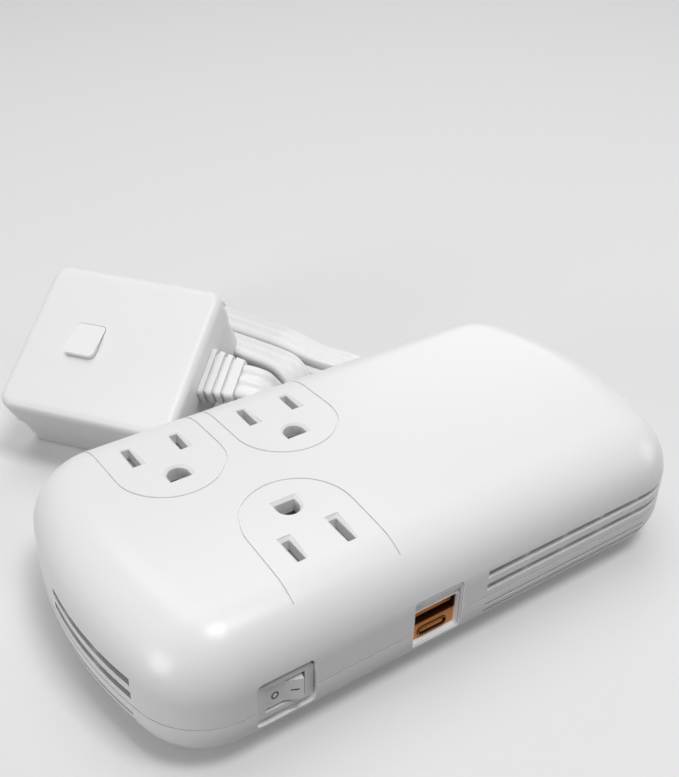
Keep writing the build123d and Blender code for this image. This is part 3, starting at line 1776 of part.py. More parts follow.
plug_lead_points = [
    tuple((head_place * head_relief_place * Pos(0, 0, plug_relief_length)).position),
    tuple((head_place * head_relief_place * Pos(0, 0, plug_relief_length + plug_exit_run)).position),
    *plug_route,
    hank_point(hank_start_reach - hank_lead_run, 1, slope_height(1, hank_start_reach - hank_lead_run)),
    hank_point(hank_start_reach, 1, slope_height(1, hank_start_reach)),
]
inlet_lead_points = [
    hank_point(hank_end_reach, 1, slope_height(3, hank_end_reach)),
    hank_point(hank_end_reach - hank_lead_run, 1, slope_height(3, hank_end_reach - hank_lead_run)),
    *inlet_route,
    tuple((inlet_place * Pos(0, 0, inlet_relief_length + inlet_exit_run)).position),
    tuple((inlet_place * Pos(0, 0, inlet_relief_length)).position),
]
save("cord_lead_plug", cord_lead("cord_lead_plug", plug_lead_points))
save("cord_hank", cord_hank())
save("cord_lead_inlet", cord_lead("cord_lead_inlet", inlet_lead_points))
save("hank_tie", hank_tie())
print_hank_gap()
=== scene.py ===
"""The looks of a travel voltage converter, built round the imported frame. Lengths are in metres."""

import json
import math

import bmesh
import bpy
from mathutils import Matrix, Vector
from mathutils.bvhtree import BVHTree


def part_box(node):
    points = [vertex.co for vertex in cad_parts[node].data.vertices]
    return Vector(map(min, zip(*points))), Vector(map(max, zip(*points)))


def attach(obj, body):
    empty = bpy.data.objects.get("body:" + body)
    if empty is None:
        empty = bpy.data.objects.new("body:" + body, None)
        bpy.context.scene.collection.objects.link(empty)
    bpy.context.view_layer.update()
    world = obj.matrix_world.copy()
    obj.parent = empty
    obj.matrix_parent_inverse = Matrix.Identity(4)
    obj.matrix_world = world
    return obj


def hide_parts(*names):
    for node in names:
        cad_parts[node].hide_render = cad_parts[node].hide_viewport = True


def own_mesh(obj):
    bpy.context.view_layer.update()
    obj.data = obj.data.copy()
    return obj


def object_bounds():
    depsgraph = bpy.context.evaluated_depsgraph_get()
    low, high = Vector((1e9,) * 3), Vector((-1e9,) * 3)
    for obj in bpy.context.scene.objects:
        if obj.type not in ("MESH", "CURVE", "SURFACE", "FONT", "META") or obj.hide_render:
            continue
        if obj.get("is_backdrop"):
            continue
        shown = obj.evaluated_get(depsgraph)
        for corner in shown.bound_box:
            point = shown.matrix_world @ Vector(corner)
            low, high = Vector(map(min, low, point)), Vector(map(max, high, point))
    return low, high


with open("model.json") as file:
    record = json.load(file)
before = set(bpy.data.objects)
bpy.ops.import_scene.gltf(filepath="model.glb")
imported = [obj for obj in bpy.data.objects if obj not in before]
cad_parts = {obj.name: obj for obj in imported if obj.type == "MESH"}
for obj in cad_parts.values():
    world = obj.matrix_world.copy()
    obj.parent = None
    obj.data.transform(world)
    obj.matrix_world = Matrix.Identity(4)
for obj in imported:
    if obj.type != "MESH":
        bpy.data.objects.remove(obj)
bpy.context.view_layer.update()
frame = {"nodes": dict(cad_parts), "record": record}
nodes = frame["nodes"]
mm = 0.001


def add_object(name, data):
    """An object of a mesh, curve, lamp or camera, put into the scene."""
    made = bpy.data.objects.new(name, data)
    bpy.context.scene.collection.objects.link(made)
    return made


# Camera, at the photograph's place and angle

camera_place = Vector((-0.12450, -0.16646, 0.18638))
camera_right = Vector((0.8266, -0.5624, 0.0213))
camera_up = Vector((0.2937, 0.4633, 0.8362))
camera_back = Vector((-0.4801, -0.6850, 0.5480))

camera_data = bpy.data.cameras.new("camera")
camera_data.lens = 48.08
camera_data.sensor_width = 36.0
camera_data.clip_start = 0.01
camera = add_object("camera", camera_data)
camera_turn = Matrix((camera_right, camera_up, camera_back)).transposed().to_4x4()
camera.matrix_world = Matrix.Translation(camera_place) @ camera_turn
bpy.context.scene.camera = camera
bpy.context.scene.view_settings.view_transform = "Standard"


# Route of the lead. Its points are those of the part's source, apart from the far loops of the
# upper two layers, which lie lower here, so that the plug head hides them from the camera.

ribbon_width = 11.0 * mm
ribbon_thickness = 3.7 * mm
hank_near = Vector((19.5, 65.5, 0.0)) * mm
hank_far = Vector((1.5, 124.0, 0.0)) * mm
hank_column_pitch = 11.6 * mm
hank_waist_half = 5.0 * mm
hank_flat_length = 4.0 * mm
hank_waist_share = 0.7
hank_shift_share = 0.22
hank_start_reach = 6.0 * mm
hank_end_reach = 14.0 * mm
hank_lead_run = 7.5 * mm
near_heights = [1.9 * mm, 6.4 * mm, 15.4 * mm, 19.9 * mm]
far_heights = [1.9 * mm, 6.4 * mm, 13.2 * mm, 17.7 * mm]
waist_heights = [3.4 * mm, 7.9 * mm, 12.4 * mm, 16.9 * mm]
loop_corner_angle = math.pi / 3
head_corner = Vector((-33.48, 77.32, 33.796)) * mm
head_yaw = math.radians(-52.0)
head_tilt = math.radians(31.2)
head_relief_tip = Vector((36.75, 1.5, -10.5)) * mm
plug_exit_run = 6.2 * mm
inlet_relief_tip = Vector((38.0, 50.35, 13.8)) * mm
inlet_exit_run = 4.3 * mm
plug_route = [
    (3.6, 47.4, 19.6),
    (8.2, 48.4, 12.0),
    (14.0, 48.6, 6.8),
    (20.6, 48.2, 5.6),
    (26.4, 50.4, 5.6),
    (28.6, 57.4, 5.9),
]
inlet_route = [(27.8, 64.8, 17.0), (34.6, 59.0, 15.2)]

hank_along = (hank_far - hank_near).normalized()
hank_side = Vector((hank_along.y, -hank_along.x, 0))
hank_length = (hank_far - hank_near).length
hank_waist = hank_length * hank_waist_share
head_across = Vector((math.cos(head_yaw), math.sin(head_yaw), 0))
head_back = Vector((-math.sin(head_yaw), math.cos(head_yaw), 0))
head_normal = Vector((0, 0, math.cos(head_tilt))) - head_back * math.sin(head_tilt)
head_rise = head_normal.cross(head_across)


def head_point(place):
    """A point of the plug head, given in the head's own directions."""
    return head_corner + head_across * place[0] + head_rise * place[1] + head_normal * place[2]


def hank_point(reach, column, height):
    """A point of the hank: how far along it, in which column, and how high."""
    place = hank_near + hank_along * reach + hank_side * (column * hank_column_pitch / 2)
    return Vector((place.x, place.y, height))


def slope_height(layer, reach):
    """The height of a layer where it slopes between its near loop and the waist."""
    share = (reach - hank_flat_length) / (hank_waist - hank_waist_half - hank_flat_length)
    return near_heights[layer] + (waist_heights[layer] - near_heights[layer]) * share


def hank_stretch(layer, forward, columns, shift_at):
    """One run of the hank between its loops, which may change column on its way."""
    ends = (
        (hank_flat_length, near_heights[layer]),
        (hank_length - hank_flat_length, far_heights[layer]),
    )
    start, end = ends if forward else ends[::-1]
    half = hank_waist_half if forward else -hank_waist_half
    marks = [
        start,
        (hank_waist - half, waist_heights[layer]),
        (hank_waist + half, waist_heights[layer]),
        end,
    ]
    points = []
    column = columns[0]
    for index, (reach, height) in enumerate(marks):
        points.append(hank_point(reach, column, height))
        if shift_at == index:
            next_reach, next_height = marks[index + 1]
            for share in (hank_shift_share, 1 - hank_shift_share):
                between = reach + (next_reach - reach) * share
                level = height + (next_height - height) * share
                points.append(hank_point(between, column, level))
                column = columns[1]
    return points


def hank_loop(low_layer, high_layer, column, far):
    """Half a turn at one end of the hank. It rises at the far end and falls at the near one."""
    heights = far_heights if far else near_heights
    low = heights[low_layer]
    high = heights[high_layer]
    outside = (high - low) / 2 / math.cos(loop_corner_angle / 2)
    corners = []
    for turn in (-1, 0, 1):
        angle = turn * loop_corner_angle * (1 if far else -1)
        reach = outside * math.cos(angle)
        place = hank_length + reach if far else -reach
        height = (low + high) / 2 + outside * math.sin(angle)
        corners.append(hank_point(place, column, height))
    return corners


def lead_route():
    """The whole lead's points from the case, through the hank, to the plug head."""
    right, left = 1, -1
    plug_exit = head_relief_tip + Vector((plug_exit_run, 0, 0))
    route = [head_point(head_relief_tip), head_point(plug_exit)]
    route += [Vector(point) * mm for point in plug_route]
    for reach in (hank_start_reach - hank_lead_run, hank_start_reach):
        route.append(hank_point(reach, right, slope_height(1, reach)))
    route += hank_stretch(1, True, (right, right), None)[1:]
    route += hank_loop(1, 2, right, True)
    route += hank_stretch(2, False, (right, left), 2)
    route += hank_loop(1, 2, left, False)
    route += hank_stretch(1, True, (left, left), None)
    route += hank_loop(1, 3, left, True)
    route += hank_stretch(3, False, (left, left), None)
    route += hank_loop(0, 3, left, False)
    route += hank_stretch(0, True, (left, right), 0)
    route += hank_loop(0, 3, right, True)
    route += hank_stretch(3, False, (right, right), None)[:-1]
    for reach in (hank_end_reach, hank_end_reach - hank_lead_run):
        route.append(hank_point(reach, right, slope_height(3, reach)))
    route += [Vector(point) * mm for point in inlet_route]
    route.append(inlet_relief_tip + Vector((0, inlet_exit_run, 0)))
    route.append(inlet_relief_tip)
    return route[::-1]


def spline_points(route, resolution):
    """The line of a smooth NURBS curve that has the route's points as its control points."""
    curve = bpy.data.curves.new("route", "CURVE")
    curve.dimensions = "3D"
    curve.resolution_u = resolution
    spline = curve.splines.new("NURBS")
    spline.points.add(len(route) - 1)
    for point, place in zip(spline.points, route):
        point.co = (*place, 1)
    spline.order_u = 3
    spline.use_endpoint_u = True
    holder = add_object("route", curve)
    bpy.context.view_layer.update()
    graph = bpy.context.evaluated_depsgraph_get()
    line = bpy.data.meshes.new_from_object(holder.evaluated_get(graph))
    points = [vertex.co.copy() for vertex in line.vertices]
    bpy.data.objects.remove(holder)
    bpy.data.meshes.remove(line)
    return points


# Mesh helpers


def new_piece(name, bm, slot, body="converter", smooth=35, finish=None):
    """Makes a piece of a bmesh, in its slot's finish or another, smooth up to an angle in degrees."""
    bmesh.ops.recalc_face_normals(bm, faces=bm.faces)
    mesh = bpy.data.meshes.new(name)
    bm.to_mesh(mesh)
    bm.free()
    piece = add_object(name, mesh)
    mesh.materials.append(materials[finish or slot])
    mesh.shade_smooth()
    mesh.set_sharp_from_angle(angle=math.radians(smooth))
    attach(piece, body)
    return piece


def sweep(bm, rings, closed=False):
    """Joins rings of points by faces, with flat ends unless the rings close on each other."""
    made = [[bm.verts.new(point) for point in ring] for ring in rings]
    pairs = list(zip(made, made[1:]))
    if closed:
        pairs.append((made[-1], made[0]))
    for first, second in pairs:
        for index in range(len(first)):
            after = (index + 1) % len(first)
            bm.faces.new((first[index], first[after], second[after], second[index]))
    if not closed:
        bm.faces.new(made[0][::-1])
        bm.faces.new(made[-1])


def heading(points, index):
    """The direction of a line of points at one of them."""
    return (points[min(index + 1, len(points) - 1)] - points[max(index - 1, 0)]).normalized()


def wire_rings(points, radius, sides):
    """Rings of a round wire that follows points."""
    angles = [2 * math.pi * index / sides for index in range(sides)]
    rings = []
    side = None
    for index, point in enumerate(points):
        along = heading(points, index)
        if side is None:
            side = along.orthogonal()
        side = (side - along * side.dot(along)).normalized()
        up = along.cross(side)
        rings.append([point + side * (radius * math.cos(a)) + up * (radius * math.sin(a)) for a in angles])
    return rings


def rounded_outline(low, high, corner, steps):
    """A rounded rectangle: each point of its outline, and the direction outward there."""
    centres = [
        (high[0] - corner, high[1] - corner),
        (low[0] + corner, high[1] - corner),
        (low[0] + corner, low[1] + corner),
        (high[0] - corner, low[1] + corner),
    ]
    outline = []
    for quarter, centre in enumerate(centres):
        for step in range(steps + 1):
            angle = math.pi / 2 * (quarter + step / steps)
            outward = Vector((math.cos(angle), math.sin(angle)))
            outline.append((Vector(centre) + outward * corner, outward))
    return outline


def cut_outline(low, high, cut):
    """A rectangle with its corners cut off."""
    return [
        (high[0], high[1] - cut), (high[0] - cut, high[1]), (low[0] + cut, high[1]), (low[0], high[1] - cut),
        (low[0], low[1] + cut), (low[0] + cut, low[1]), (high[0] - cut, low[1]), (high[0], low[1] + cut),
    ]


# Materials

cloud_scale = 45
gloss_scale = 90
gloss_detail = 5
grain_detail = 4
noise_low, noise_high = 0.2, 0.8
bump_strength = 0.35
# Painted shade: ambient occlusion darkens the colour in corners, creases and recesses.
corner_shade_reach = 1.2 * mm
corner_shade_samples = 8
corner_shade_full, corner_shade_none = 0.25, 0.8


def mix_colour(tree, factor, first, second):
    """A mix of two colours. Each is a colour or the output of a node."""
    mix = tree.nodes.new("ShaderNodeMix")
    mix.data_type = "RGBA"
    tree.links.new(factor, mix.inputs["Factor"])
    for name, value in (("A", first), ("B", second)):
        if isinstance(value, bpy.types.NodeSocket):
            tree.links.new(value, mix.inputs[name])
        else:
            mix.inputs[name].default_value = (*value, 1)
    return mix.outputs["Result"]


def ranged(tree, value, low, high, to_low, to_high):
    """A value brought from one range to another."""
    node = tree.nodes.new("ShaderNodeMapRange")
    tree.links.new(value, node.inputs["Value"])
    node.inputs["From Min"].default_value = low
    node.inputs["From Max"].default_value = high
    node.inputs["To Min"].default_value = to_low
    node.inputs["To Max"].default_value = to_high
    return node.outputs["Result"]


def noise(tree, scale, detail=3, stretch=None):
    """Noise in the object's own space, with a number of spots per metre."""
    place = tree.nodes.new("ShaderNodeTexCoord").outputs["Object"]
    if stretch:
        mapping = tree.nodes.new("ShaderNodeMapping")
        mapping.inputs["Scale"].default_value = stretch
        tree.links.new(place, mapping.inputs["Vector"])
        place = mapping.outputs["Vector"]
    node = tree.nodes.new("ShaderNodeTexNoise")
    node.inputs["Scale"].default_value = scale
    node.inputs["Detail"].default_value = detail
    tree.links.new(place, node.inputs["Vector"])
    return node.outputs["Fac"]


def surface(
    name, colour, rough, metal=0, vary=0.04, grain=1500, depth=0.01, spread=0.08, corner_shade=0, stretch=None,
    transmission=0,
):
    """A moulded, drawn or plated surface: cloudy colour, uneven gloss, fine grain, and painted shade in its
    corners.

    vary is the share by which the colour changes, grain the spots per metre, depth their height in
    millimetres, spread the range of the roughness, and the corner share by which corners and recesses are
    painted darker as shade.
    """
    material = bpy.data.materials.new(name)
    material.use_nodes = True
    tree = material.node_tree
    shader = tree.nodes["Principled BSDF"]
    shader.inputs["Metallic"].default_value = metal
    shader.inputs["Transmission Weight"].default_value = transmission
    dark = [c * (1 - vary) for c in colour]
    light = [min(1, c * (1 + vary)) for c in colour]
    shade = mix_colour(tree, noise(tree, cloud_scale), dark, light)
    # Painted shade: where ambient occlusion finds a corner or recess, the colour is darkened by the given
    # share.
    if corner_shade:
        corner = tree.nodes.new("ShaderNodeAmbientOcclusion")
        corner.samples = corner_shade_samples
        corner.inputs["Distance"].default_value = corner_shade_reach
        unshaded = ranged(tree, corner.outputs["AO"], corner_shade_full, corner_shade_none, 0, 1)
        shade = mix_colour(tree, unshaded, [c * (1 - corner_shade) for c in colour], shade)
    tree.links.new(shade, shader.inputs["Base Color"])
    gloss = noise(tree, gloss_scale, gloss_detail)
    roughness = ranged(tree, gloss, noise_low, noise_high, rough - spread / 2, rough + spread / 2)
    tree.links.new(roughness, shader.inputs["Roughness"])
    bump = tree.nodes.new("ShaderNodeBump")
    bump.inputs["Strength"].default_value = bump_strength
    bump.inputs["Distance"].default_value = depth * mm
    tree.links.new(noise(tree, grain, grain_detail, stretch), bump.inputs["Height"])
    tree.links.new(bump.outputs["Normal"], shader.inputs["Normal"])
    return material


# A finish's corner share paints shade into its corners and recesses.
finishes = {
    "case_plastic": dict(
        colour=(0.89, 0.89, 0.895), rough=0.3, vary=0.006, grain=1400, depth=0.004, spread=0.03, corner_shade=0.05,
    ),
    "plug_plastic": dict(
        colour=(0.88, 0.88, 0.882), rough=0.42, vary=0.008, grain=2600, depth=0.02, spread=0.04, corner_shade=0.12,
    ),
    "switch_plastic": dict(
        colour=(0.84, 0.845, 0.85), rough=0.3, vary=0.01, depth=0.006, spread=0.04, corner_shade=0.3,
    ),
    "mark_ink": dict(colour=(0.015, 0.015, 0.017), rough=0.4, vary=0.1),
    "port_orange": dict(colour=(0.88, 0.28, 0.01), rough=0.35, vary=0.05, corner_shade=0.1),
    "port_insert": dict(colour=(0.82, 0.26, 0.01), rough=0.4, vary=0.05),
    # Painted shade and painted orange reflection: the port shells' metal is dark brown so that the ports'
    # insides look dark.
    "port_metal": dict(colour=(0.20, 0.11, 0.05), rough=0.35, metal=1, vary=0.08, stretch=(1, 12, 1)),
    "carrier_plastic": dict(colour=(0.20, 0.20, 0.20), rough=0.5, vary=0.1, depth=0.03),
    "shutter_plastic": dict(colour=(0.42, 0.41, 0.39), rough=0.45, vary=0.06, depth=0.03),
    "contact_brass": dict(colour=(0.72, 0.52, 0.24), rough=0.28, metal=1, vary=0.1, stretch=(1, 1, 14)),
    "spring_steel": dict(colour=(0.60, 0.60, 0.61), rough=0.25, metal=1, vary=0.08),
    "screw_steel": dict(colour=(0.58, 0.58, 0.60), rough=0.34, metal=1, vary=0.08, depth=0.02),
    "foot_rubber": dict(colour=(0.42, 0.42, 0.43), rough=0.75, vary=0.08, grain=1100, depth=0.06),
    "fan_plastic": dict(colour=(0.03, 0.03, 0.033), rough=0.45, vary=0.15, depth=0.02),
    "core_ferrite": dict(colour=(0.07, 0.07, 0.075), rough=0.6, vary=0.2, grain=1800, depth=0.08),
    "winding_tape": dict(
        colour=(0.68, 0.50, 0.10), rough=0.32, vary=0.1, grain=700, depth=0.05, stretch=(0.2, 0.2, 3),
    ),
    "winding_copper": dict(colour=(0.62, 0.25, 0.09), rough=0.24, metal=1, vary=0.15),
    "sink_aluminium": dict(
        colour=(0.72, 0.72, 0.74), rough=0.36, metal=1, vary=0.05, depth=0.02, stretch=(1, 1, 0.05),
    ),
    "transistor_epoxy": dict(colour=(0.03, 0.03, 0.03), rough=0.55, vary=0.2, depth=0.04),
    "capacitor_sleeve": dict(colour=(0.03, 0.035, 0.08), rough=0.25, vary=0.15),
    "cord_vinyl": dict(colour=(0.88, 0.88, 0.88), rough=0.36, vary=0.02, grain=1800, depth=0.02, corner_shade=0.15),
    "pin_nickel": dict(colour=(0.74, 0.73, 0.70), rough=0.18, metal=1, vary=0.05, stretch=(1, 1, 0.1)),
    "fuse_glass": dict(colour=(0.90, 0.94, 0.94), rough=0.08, vary=0.03, spread=0.04, transmission=0.75),
}
materials = {name: surface(name, **finish) for name, finish in finishes.items()}

mask_green = (0.03, 0.16, 0.07)
trace_green = (0.07, 0.27, 0.10)
trace_scale = 170
trace_randomness = 0.7
trace_inner, trace_outer = 0.06, 0.1


def board_material():
    """Green solder mask with paler copper traces under it."""
    material = surface("board_green", mask_green, 0.35, vary=0.12, depth=0.02)
    tree = material.node_tree
    place = tree.nodes.new("ShaderNodeTexCoord")
    cells = tree.nodes.new("ShaderNodeTexVoronoi")
    cells.distance = "CHEBYCHEV"
    cells.feature = "DISTANCE_TO_EDGE"
    cells.inputs["Scale"].default_value = trace_scale
    cells.inputs["Randomness"].default_value = trace_randomness
    tree.links.new(place.outputs["Object"], cells.inputs["Vector"])
    trace = ranged(tree, cells.outputs["Distance"], trace_inner, trace_outer, 1, 0)
    colour = mix_colour(tree, trace, mask_green, trace_green)
    tree.links.new(colour, tree.nodes["Principled BSDF"].inputs["Base Color"])
    return material


materials["board_green"] = board_material()

slots = {part["node"]: part["material_slot"] for part in frame["record"]["subparts"]}
for name, node in nodes.items():
    for place in node.material_slots:
        place.material = materials[slots[name]]


# Lead: one flat cord with three cores, from the case through the hank to the plug head

core_pitch = ribbon_width / 3
core_radius = ribbon_thickness / 2
web_share = 0.74
edge_share = 0.18
steps_per_core = 7
cord_resolution = 7
inlet_stretch = 36.1 * mm
plug_stretch = 66.1 * mm


def ribbon_profile():
    """Places across the flat cord and heights there: three round cores joined by webs."""
    upper = []
    for core in (-1, 0, 1):
        for step in range(steps_per_core):
            share = (step + 0.5) / steps_per_core * 2 - 1
            across = core * core_pitch + share * core_pitch / 2
            lift = core_radius * math.sqrt(max(0, 1 - (share * core_pitch / 2 / core_radius) ** 2))
            least = edge_share if core * share > 0 else web_share
            upper.append((across, max(lift, core_radius * least)))
    return upper + [(across, -height) for across, height in upper[::-1]]


def ribbon_frames(points):
    """At each point of the flat cord: the direction along it and the direction across it."""
    lengths = [0]
    for first, second in zip(points, points[1:]):
        lengths.append(lengths[-1] + (second - first).length)
    plug_start = lengths[-1] - plug_stretch
    frames = []
    for index, place in enumerate(lengths):
        along = heading(points, index)
        if place < inlet_stretch:
            side = Vector((0, 0, -1)).cross(along)
        elif place > plug_start:
            share = (place - plug_start) / plug_stretch
            side = Vector((0, 0, 1)).lerp(head_normal, share).cross(along)
        else:
            side = hank_side
        side = (side - along * side.dot(along)).normalized()
        frames.append((along, side))
    return frames


def flat_lead(points):
    """The flat cord along its points."""
    profile = ribbon_profile()
    rings = []
    for point, (along, side) in zip(points, ribbon_frames(points)):
        face = along.cross(side)
        rings.append([point + side * across + face * height for across, height in profile])
    bm = bmesh.new()
    sweep(bm, rings)
    return new_piece("flat_lead", bm, "cord_vinyl", smooth=50)


cord_points = spline_points(lead_route(), cord_resolution)
cord = flat_lead(cord_points)
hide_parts("cord_lead_inlet", "cord_hank", "cord_lead_plug")


# Tie round the hank's waist

tie_width = 6.0 * mm
tie_thickness = 1.2 * mm
tie_gap = 0.3 * mm
tie_corner = 2.0 * mm
tie_corner_steps = 6
tie_bevel = 0.3 * mm
tie_grooves = (-0.5, 0, 0.5)
tie_groove_half = 0.12


def tie_section():
    """The band's section: places across it, in half widths, and heights over its inner face."""
    edge = [(-1, 0), (-1, tie_thickness - tie_bevel)]
    edge += [(-0.93, tie_thickness - tie_bevel / 3), (-0.86, tie_thickness)]
    section = edge[:]
    for groove in tie_grooves:
        section += [
            (groove - tie_groove_half, tie_thickness),
            (groove, tie_thickness - tie_bevel),
            (groove + tie_groove_half, tie_thickness),
        ]
    return section + [(-reach, out) for reach, out in edge[::-1]]


def tie_band():
    """A closed band of soft vinyl, its edges rounded and its outer face grooved."""
    high = waist_heights[3] + ribbon_thickness / 2 + tie_gap
    low = waist_heights[0] - ribbon_thickness / 2 - tie_gap
    tall = (high - low) / 2
    half = hank_column_pitch / 2 + ribbon_width / 2 + tie_gap
    middle = hank_point(hank_waist, 0, (high + low) / 2)
    up = Vector((0, 0, 1))
    section = tie_section()
    rings = []
    for place, outward in rounded_outline((-half, -tall), (half, tall), tie_corner, tie_corner_steps):
        point = middle + hank_side * place.x + up * place.y
        away = hank_side * outward.x + up * outward.y
        rings.append([point + away * out + hank_along * (reach * tie_width / 2) for reach, out in section])
    bm = bmesh.new()
    sweep(bm, rings, True)
    return new_piece("hank_band", bm, "cord_vinyl", smooth=40)


tie = tie_band()
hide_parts("hank_tie")


# Coiled springs for the shutters and the button

spring_turn_steps = 20
spring_wire_sides = 8
spring_closed_turns = 0.5
spring_closed_pitch = 2.1
shutter_wire = 0.13 * mm
shutter_turns = 6
button_place = Vector((-7.6, 0.2, 0)) * mm
button_spring_low = -11.4 * mm
button_spring_high = -7.1 * mm
button_spring_radius = 2.2 * mm
button_wire = 0.25 * mm
button_turns = 4


def coil(name, start, end, radius, wire, turns):
    """A compression spring from one point to another, with closed ends."""
    along = (end - start).normalized()
    side = along.orthogonal().normalized()
    up = along.cross(side)
    closed = spring_closed_turns
    closed_pitch = spring_closed_pitch * wire
    open_length = (end - start).length - 2 * wire - 2 * closed * closed_pitch
    points = []
    for index in range(int((turns + 2 * closed) * spring_turn_steps) + 1):
        turn = index / spring_turn_steps
        open_share = min(1, max(0, (turn - closed) / turns))
        closed_rise = (min(turn, closed) + max(0, turn - closed - turns)) * closed_pitch
        centre = start + along * (wire + closed_rise + open_length * open_share)
        angle = 2 * math.pi * turn
        points.append(centre + side * (radius * math.cos(angle)) + up * (radius * math.sin(angle)))
    bm = bmesh.new()
    sweep(bm, wire_rings(points, wire, spring_wire_sides))
    return new_piece(name, bm, "spring_steel", smooth=60)


for number, sign in ((1, 1), (2, 1), (3, -1)):
    low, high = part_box(f"shutter_spring_{number}")
    direction = Vector((sign, 0, 0))
    half = (high - low).x / 2
    moving_end = (low + high) / 2 - direction * half
    fixed_end = (low + high) / 2 + direction * half
    outer = (high - low).z / 2
    spring = coil(
        f"shutter_coil_{number}", moving_end, fixed_end, outer - shutter_wire, shutter_wire, shutter_turns,
    )
    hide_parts(f"shutter_spring_{number}")
    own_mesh(spring)

fixed_end = head_point(button_place + Vector((0, 0, button_spring_low)))
moving_end = head_point(button_place + Vector((0, 0, button_spring_high)))
spring = coil("plug_button_coil", fixed_end, moving_end, button_spring_radius, button_wire, button_turns)
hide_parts("plug_button_spring")
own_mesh(spring)


# Marks on the rocker, laid on its face as it is at rest

mark_offset = 2.15 * mm
mark_radius = 0.75 * mm
mark_tallness = 1.15
mark_steps = 36
dash_half = 0.85 * mm
dash_steps = 8
mark_width = 0.34 * mm
mark_proud = 0.03 * mm
before_object_y = -0.2


def laid_mark(name, line, closed):
    """A printed mark: a flat closed or open line in X and Z, laid on the rocker's -Y side."""
    graph = bpy.context.evaluated_depsgraph_get()
    tree = BVHTree.FromObject(nodes["switch_rocker"], graph)
    bm = bmesh.new()
    count = len(line)
    left = []
    right = []
    for index, (x, z) in enumerate(line):
        before = line[index - 1] if index > 0 or closed else line[index]
        after = line[(index + 1) % count] if index < count - 1 or closed else line[index]
        along = Vector((after[0] - before[0], after[1] - before[1])).normalized()
        across = Vector((-along.y, along.x)) * (mark_width / 2)
        for side, row in ((1, left), (-1, right)):
            start = Vector((x + across.x * side, before_object_y, z + across.y * side))
            hit = tree.ray_cast(start, Vector((0, 1, 0)))[0]
            row.append(bm.verts.new(hit + Vector((0, -mark_proud, 0))))
    for index in range(count if closed else count - 1):
        after = (index + 1) % count
        bm.faces.new((left[index], left[after], right[after], right[index]))
    bm.normal_update()
    made = bmesh.ops.extrude_face_region(bm, geom=bm.faces[:])
    moved = [item for item in made["geom"] if isinstance(item, bmesh.types.BMVert)]
    bmesh.ops.translate(bm, verts=moved, vec=(0, mark_proud, 0))
    new_piece(name, bm, "switch_plastic", body="rocker", smooth=30, finish="mark_ink")


rocker_low, rocker_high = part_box("switch_rocker")
rocker_middle = (rocker_low + rocker_high) / 2
circle = []
for step in range(mark_steps):
    angle = 2 * math.pi * step / mark_steps
    circle.append((
        rocker_middle.x - mark_offset + mark_radius * math.cos(angle),
        rocker_middle.z + mark_radius * mark_tallness * math.sin(angle),
    ))
dash_start = rocker_middle.x + mark_offset - dash_half
dash = [
    (dash_start + 2 * dash_half * step / dash_steps, rocker_middle.z) for step in range(dash_steps + 1)
]
laid_mark("rocker_off_mark", circle, True)
laid_mark("rocker_on_mark", dash, False)


# Charging window: a frame round the ports, with a lintel over them

case_near_y = -42.35 * mm
plate_front_y = -40.3 * mm
window_low_x, window_high_x = -15.2 * mm, -1.75 * mm
window_low_z, window_high_z = 8.3 * mm, 22.1 * mm
window_gap = 0.08 * mm
frame_side = 0.55 * mm
frame_corner = 0.7 * mm
frame_corner_steps = 5
frame_bevel = 0.15 * mm
frame_front_y = case_near_y + 0.85 * mm
frame_slope_y = case_near_y + 1.4 * mm
frame_back_y = plate_front_y - 0.03 * mm
lintel_low_z = 19.1 * mm
lintel_high_z = window_high_z - window_gap
lintel_front_y = case_near_y + 0.35 * mm
lintel_bevel = 0.12 * mm


def window_frame():
    """The ring that lines the window's sides and sill."""
    # Each ring: its distance from the window's sides and sill, that from the lintel, and its y.
    marks = [
        (window_gap, 0.02 * mm, frame_front_y + frame_bevel),
        (window_gap * 3, 0.06 * mm, frame_front_y),
        (frame_side, 0.1 * mm, frame_slope_y),
        (frame_side * 1.2, 0.12 * mm, frame_back_y),
        (window_gap, 0.02 * mm, frame_back_y),
    ]
    rings = []
    for inset, inset_high, y in marks:
        low = (window_low_x + inset, window_low_z + inset)
        high = (window_high_x - inset, lintel_low_z - inset_high)
        outline = rounded_outline(low, high, frame_corner, frame_corner_steps)
        rings.append([Vector((place.x, y, place.y)) for place, outward in outline])
    bm = bmesh.new()
    sweep(bm, rings, True)
    new_piece("port_window_frame", bm, "case_plastic")


def window_lintel():
    """The bar over the ports. Its front is set back a little and slopes inward to the ports."""
    profile = [
        (frame_back_y, lintel_high_z),
        (lintel_front_y + lintel_bevel, lintel_high_z),
        (lintel_front_y, lintel_high_z - lintel_bevel),
        (lintel_front_y, lintel_high_z - 0.3 * mm),
        (lintel_front_y + 0.62 * mm, lintel_low_z + 0.3 * mm),
        (lintel_front_y + 0.75 * mm, lintel_low_z + 0.08 * mm),
        (lintel_front_y + 0.95 * mm, lintel_low_z),
        (frame_back_y, lintel_low_z),
    ]
    low_x = window_low_x + window_gap
    high_x = window_high_x - window_gap
    ends = [
        (low_x, lintel_bevel), (low_x + lintel_bevel, 0), (high_x - lintel_bevel, 0), (high_x, lintel_bevel),
    ]
    rings = []
    for x, inset in ends:
        rings.append([Vector((x, max(y, lintel_front_y + inset), z)) for y, z in profile])
    bm = bmesh.new()
    sweep(bm, rings)
    new_piece("port_window_lintel", bm, "case_plastic", smooth=30)


window_frame()
window_lintel()


# Tongues in the ports, with their contact strips

tongue_block_depth = 1.5 * mm
tongue_cut = 0.3 * mm
strip_margin = 0.6
strip_half_share = 0.27
strip_setback = 0.9 * mm
strip_sunk = 0.02 * mm
strip_proud = 0.06 * mm


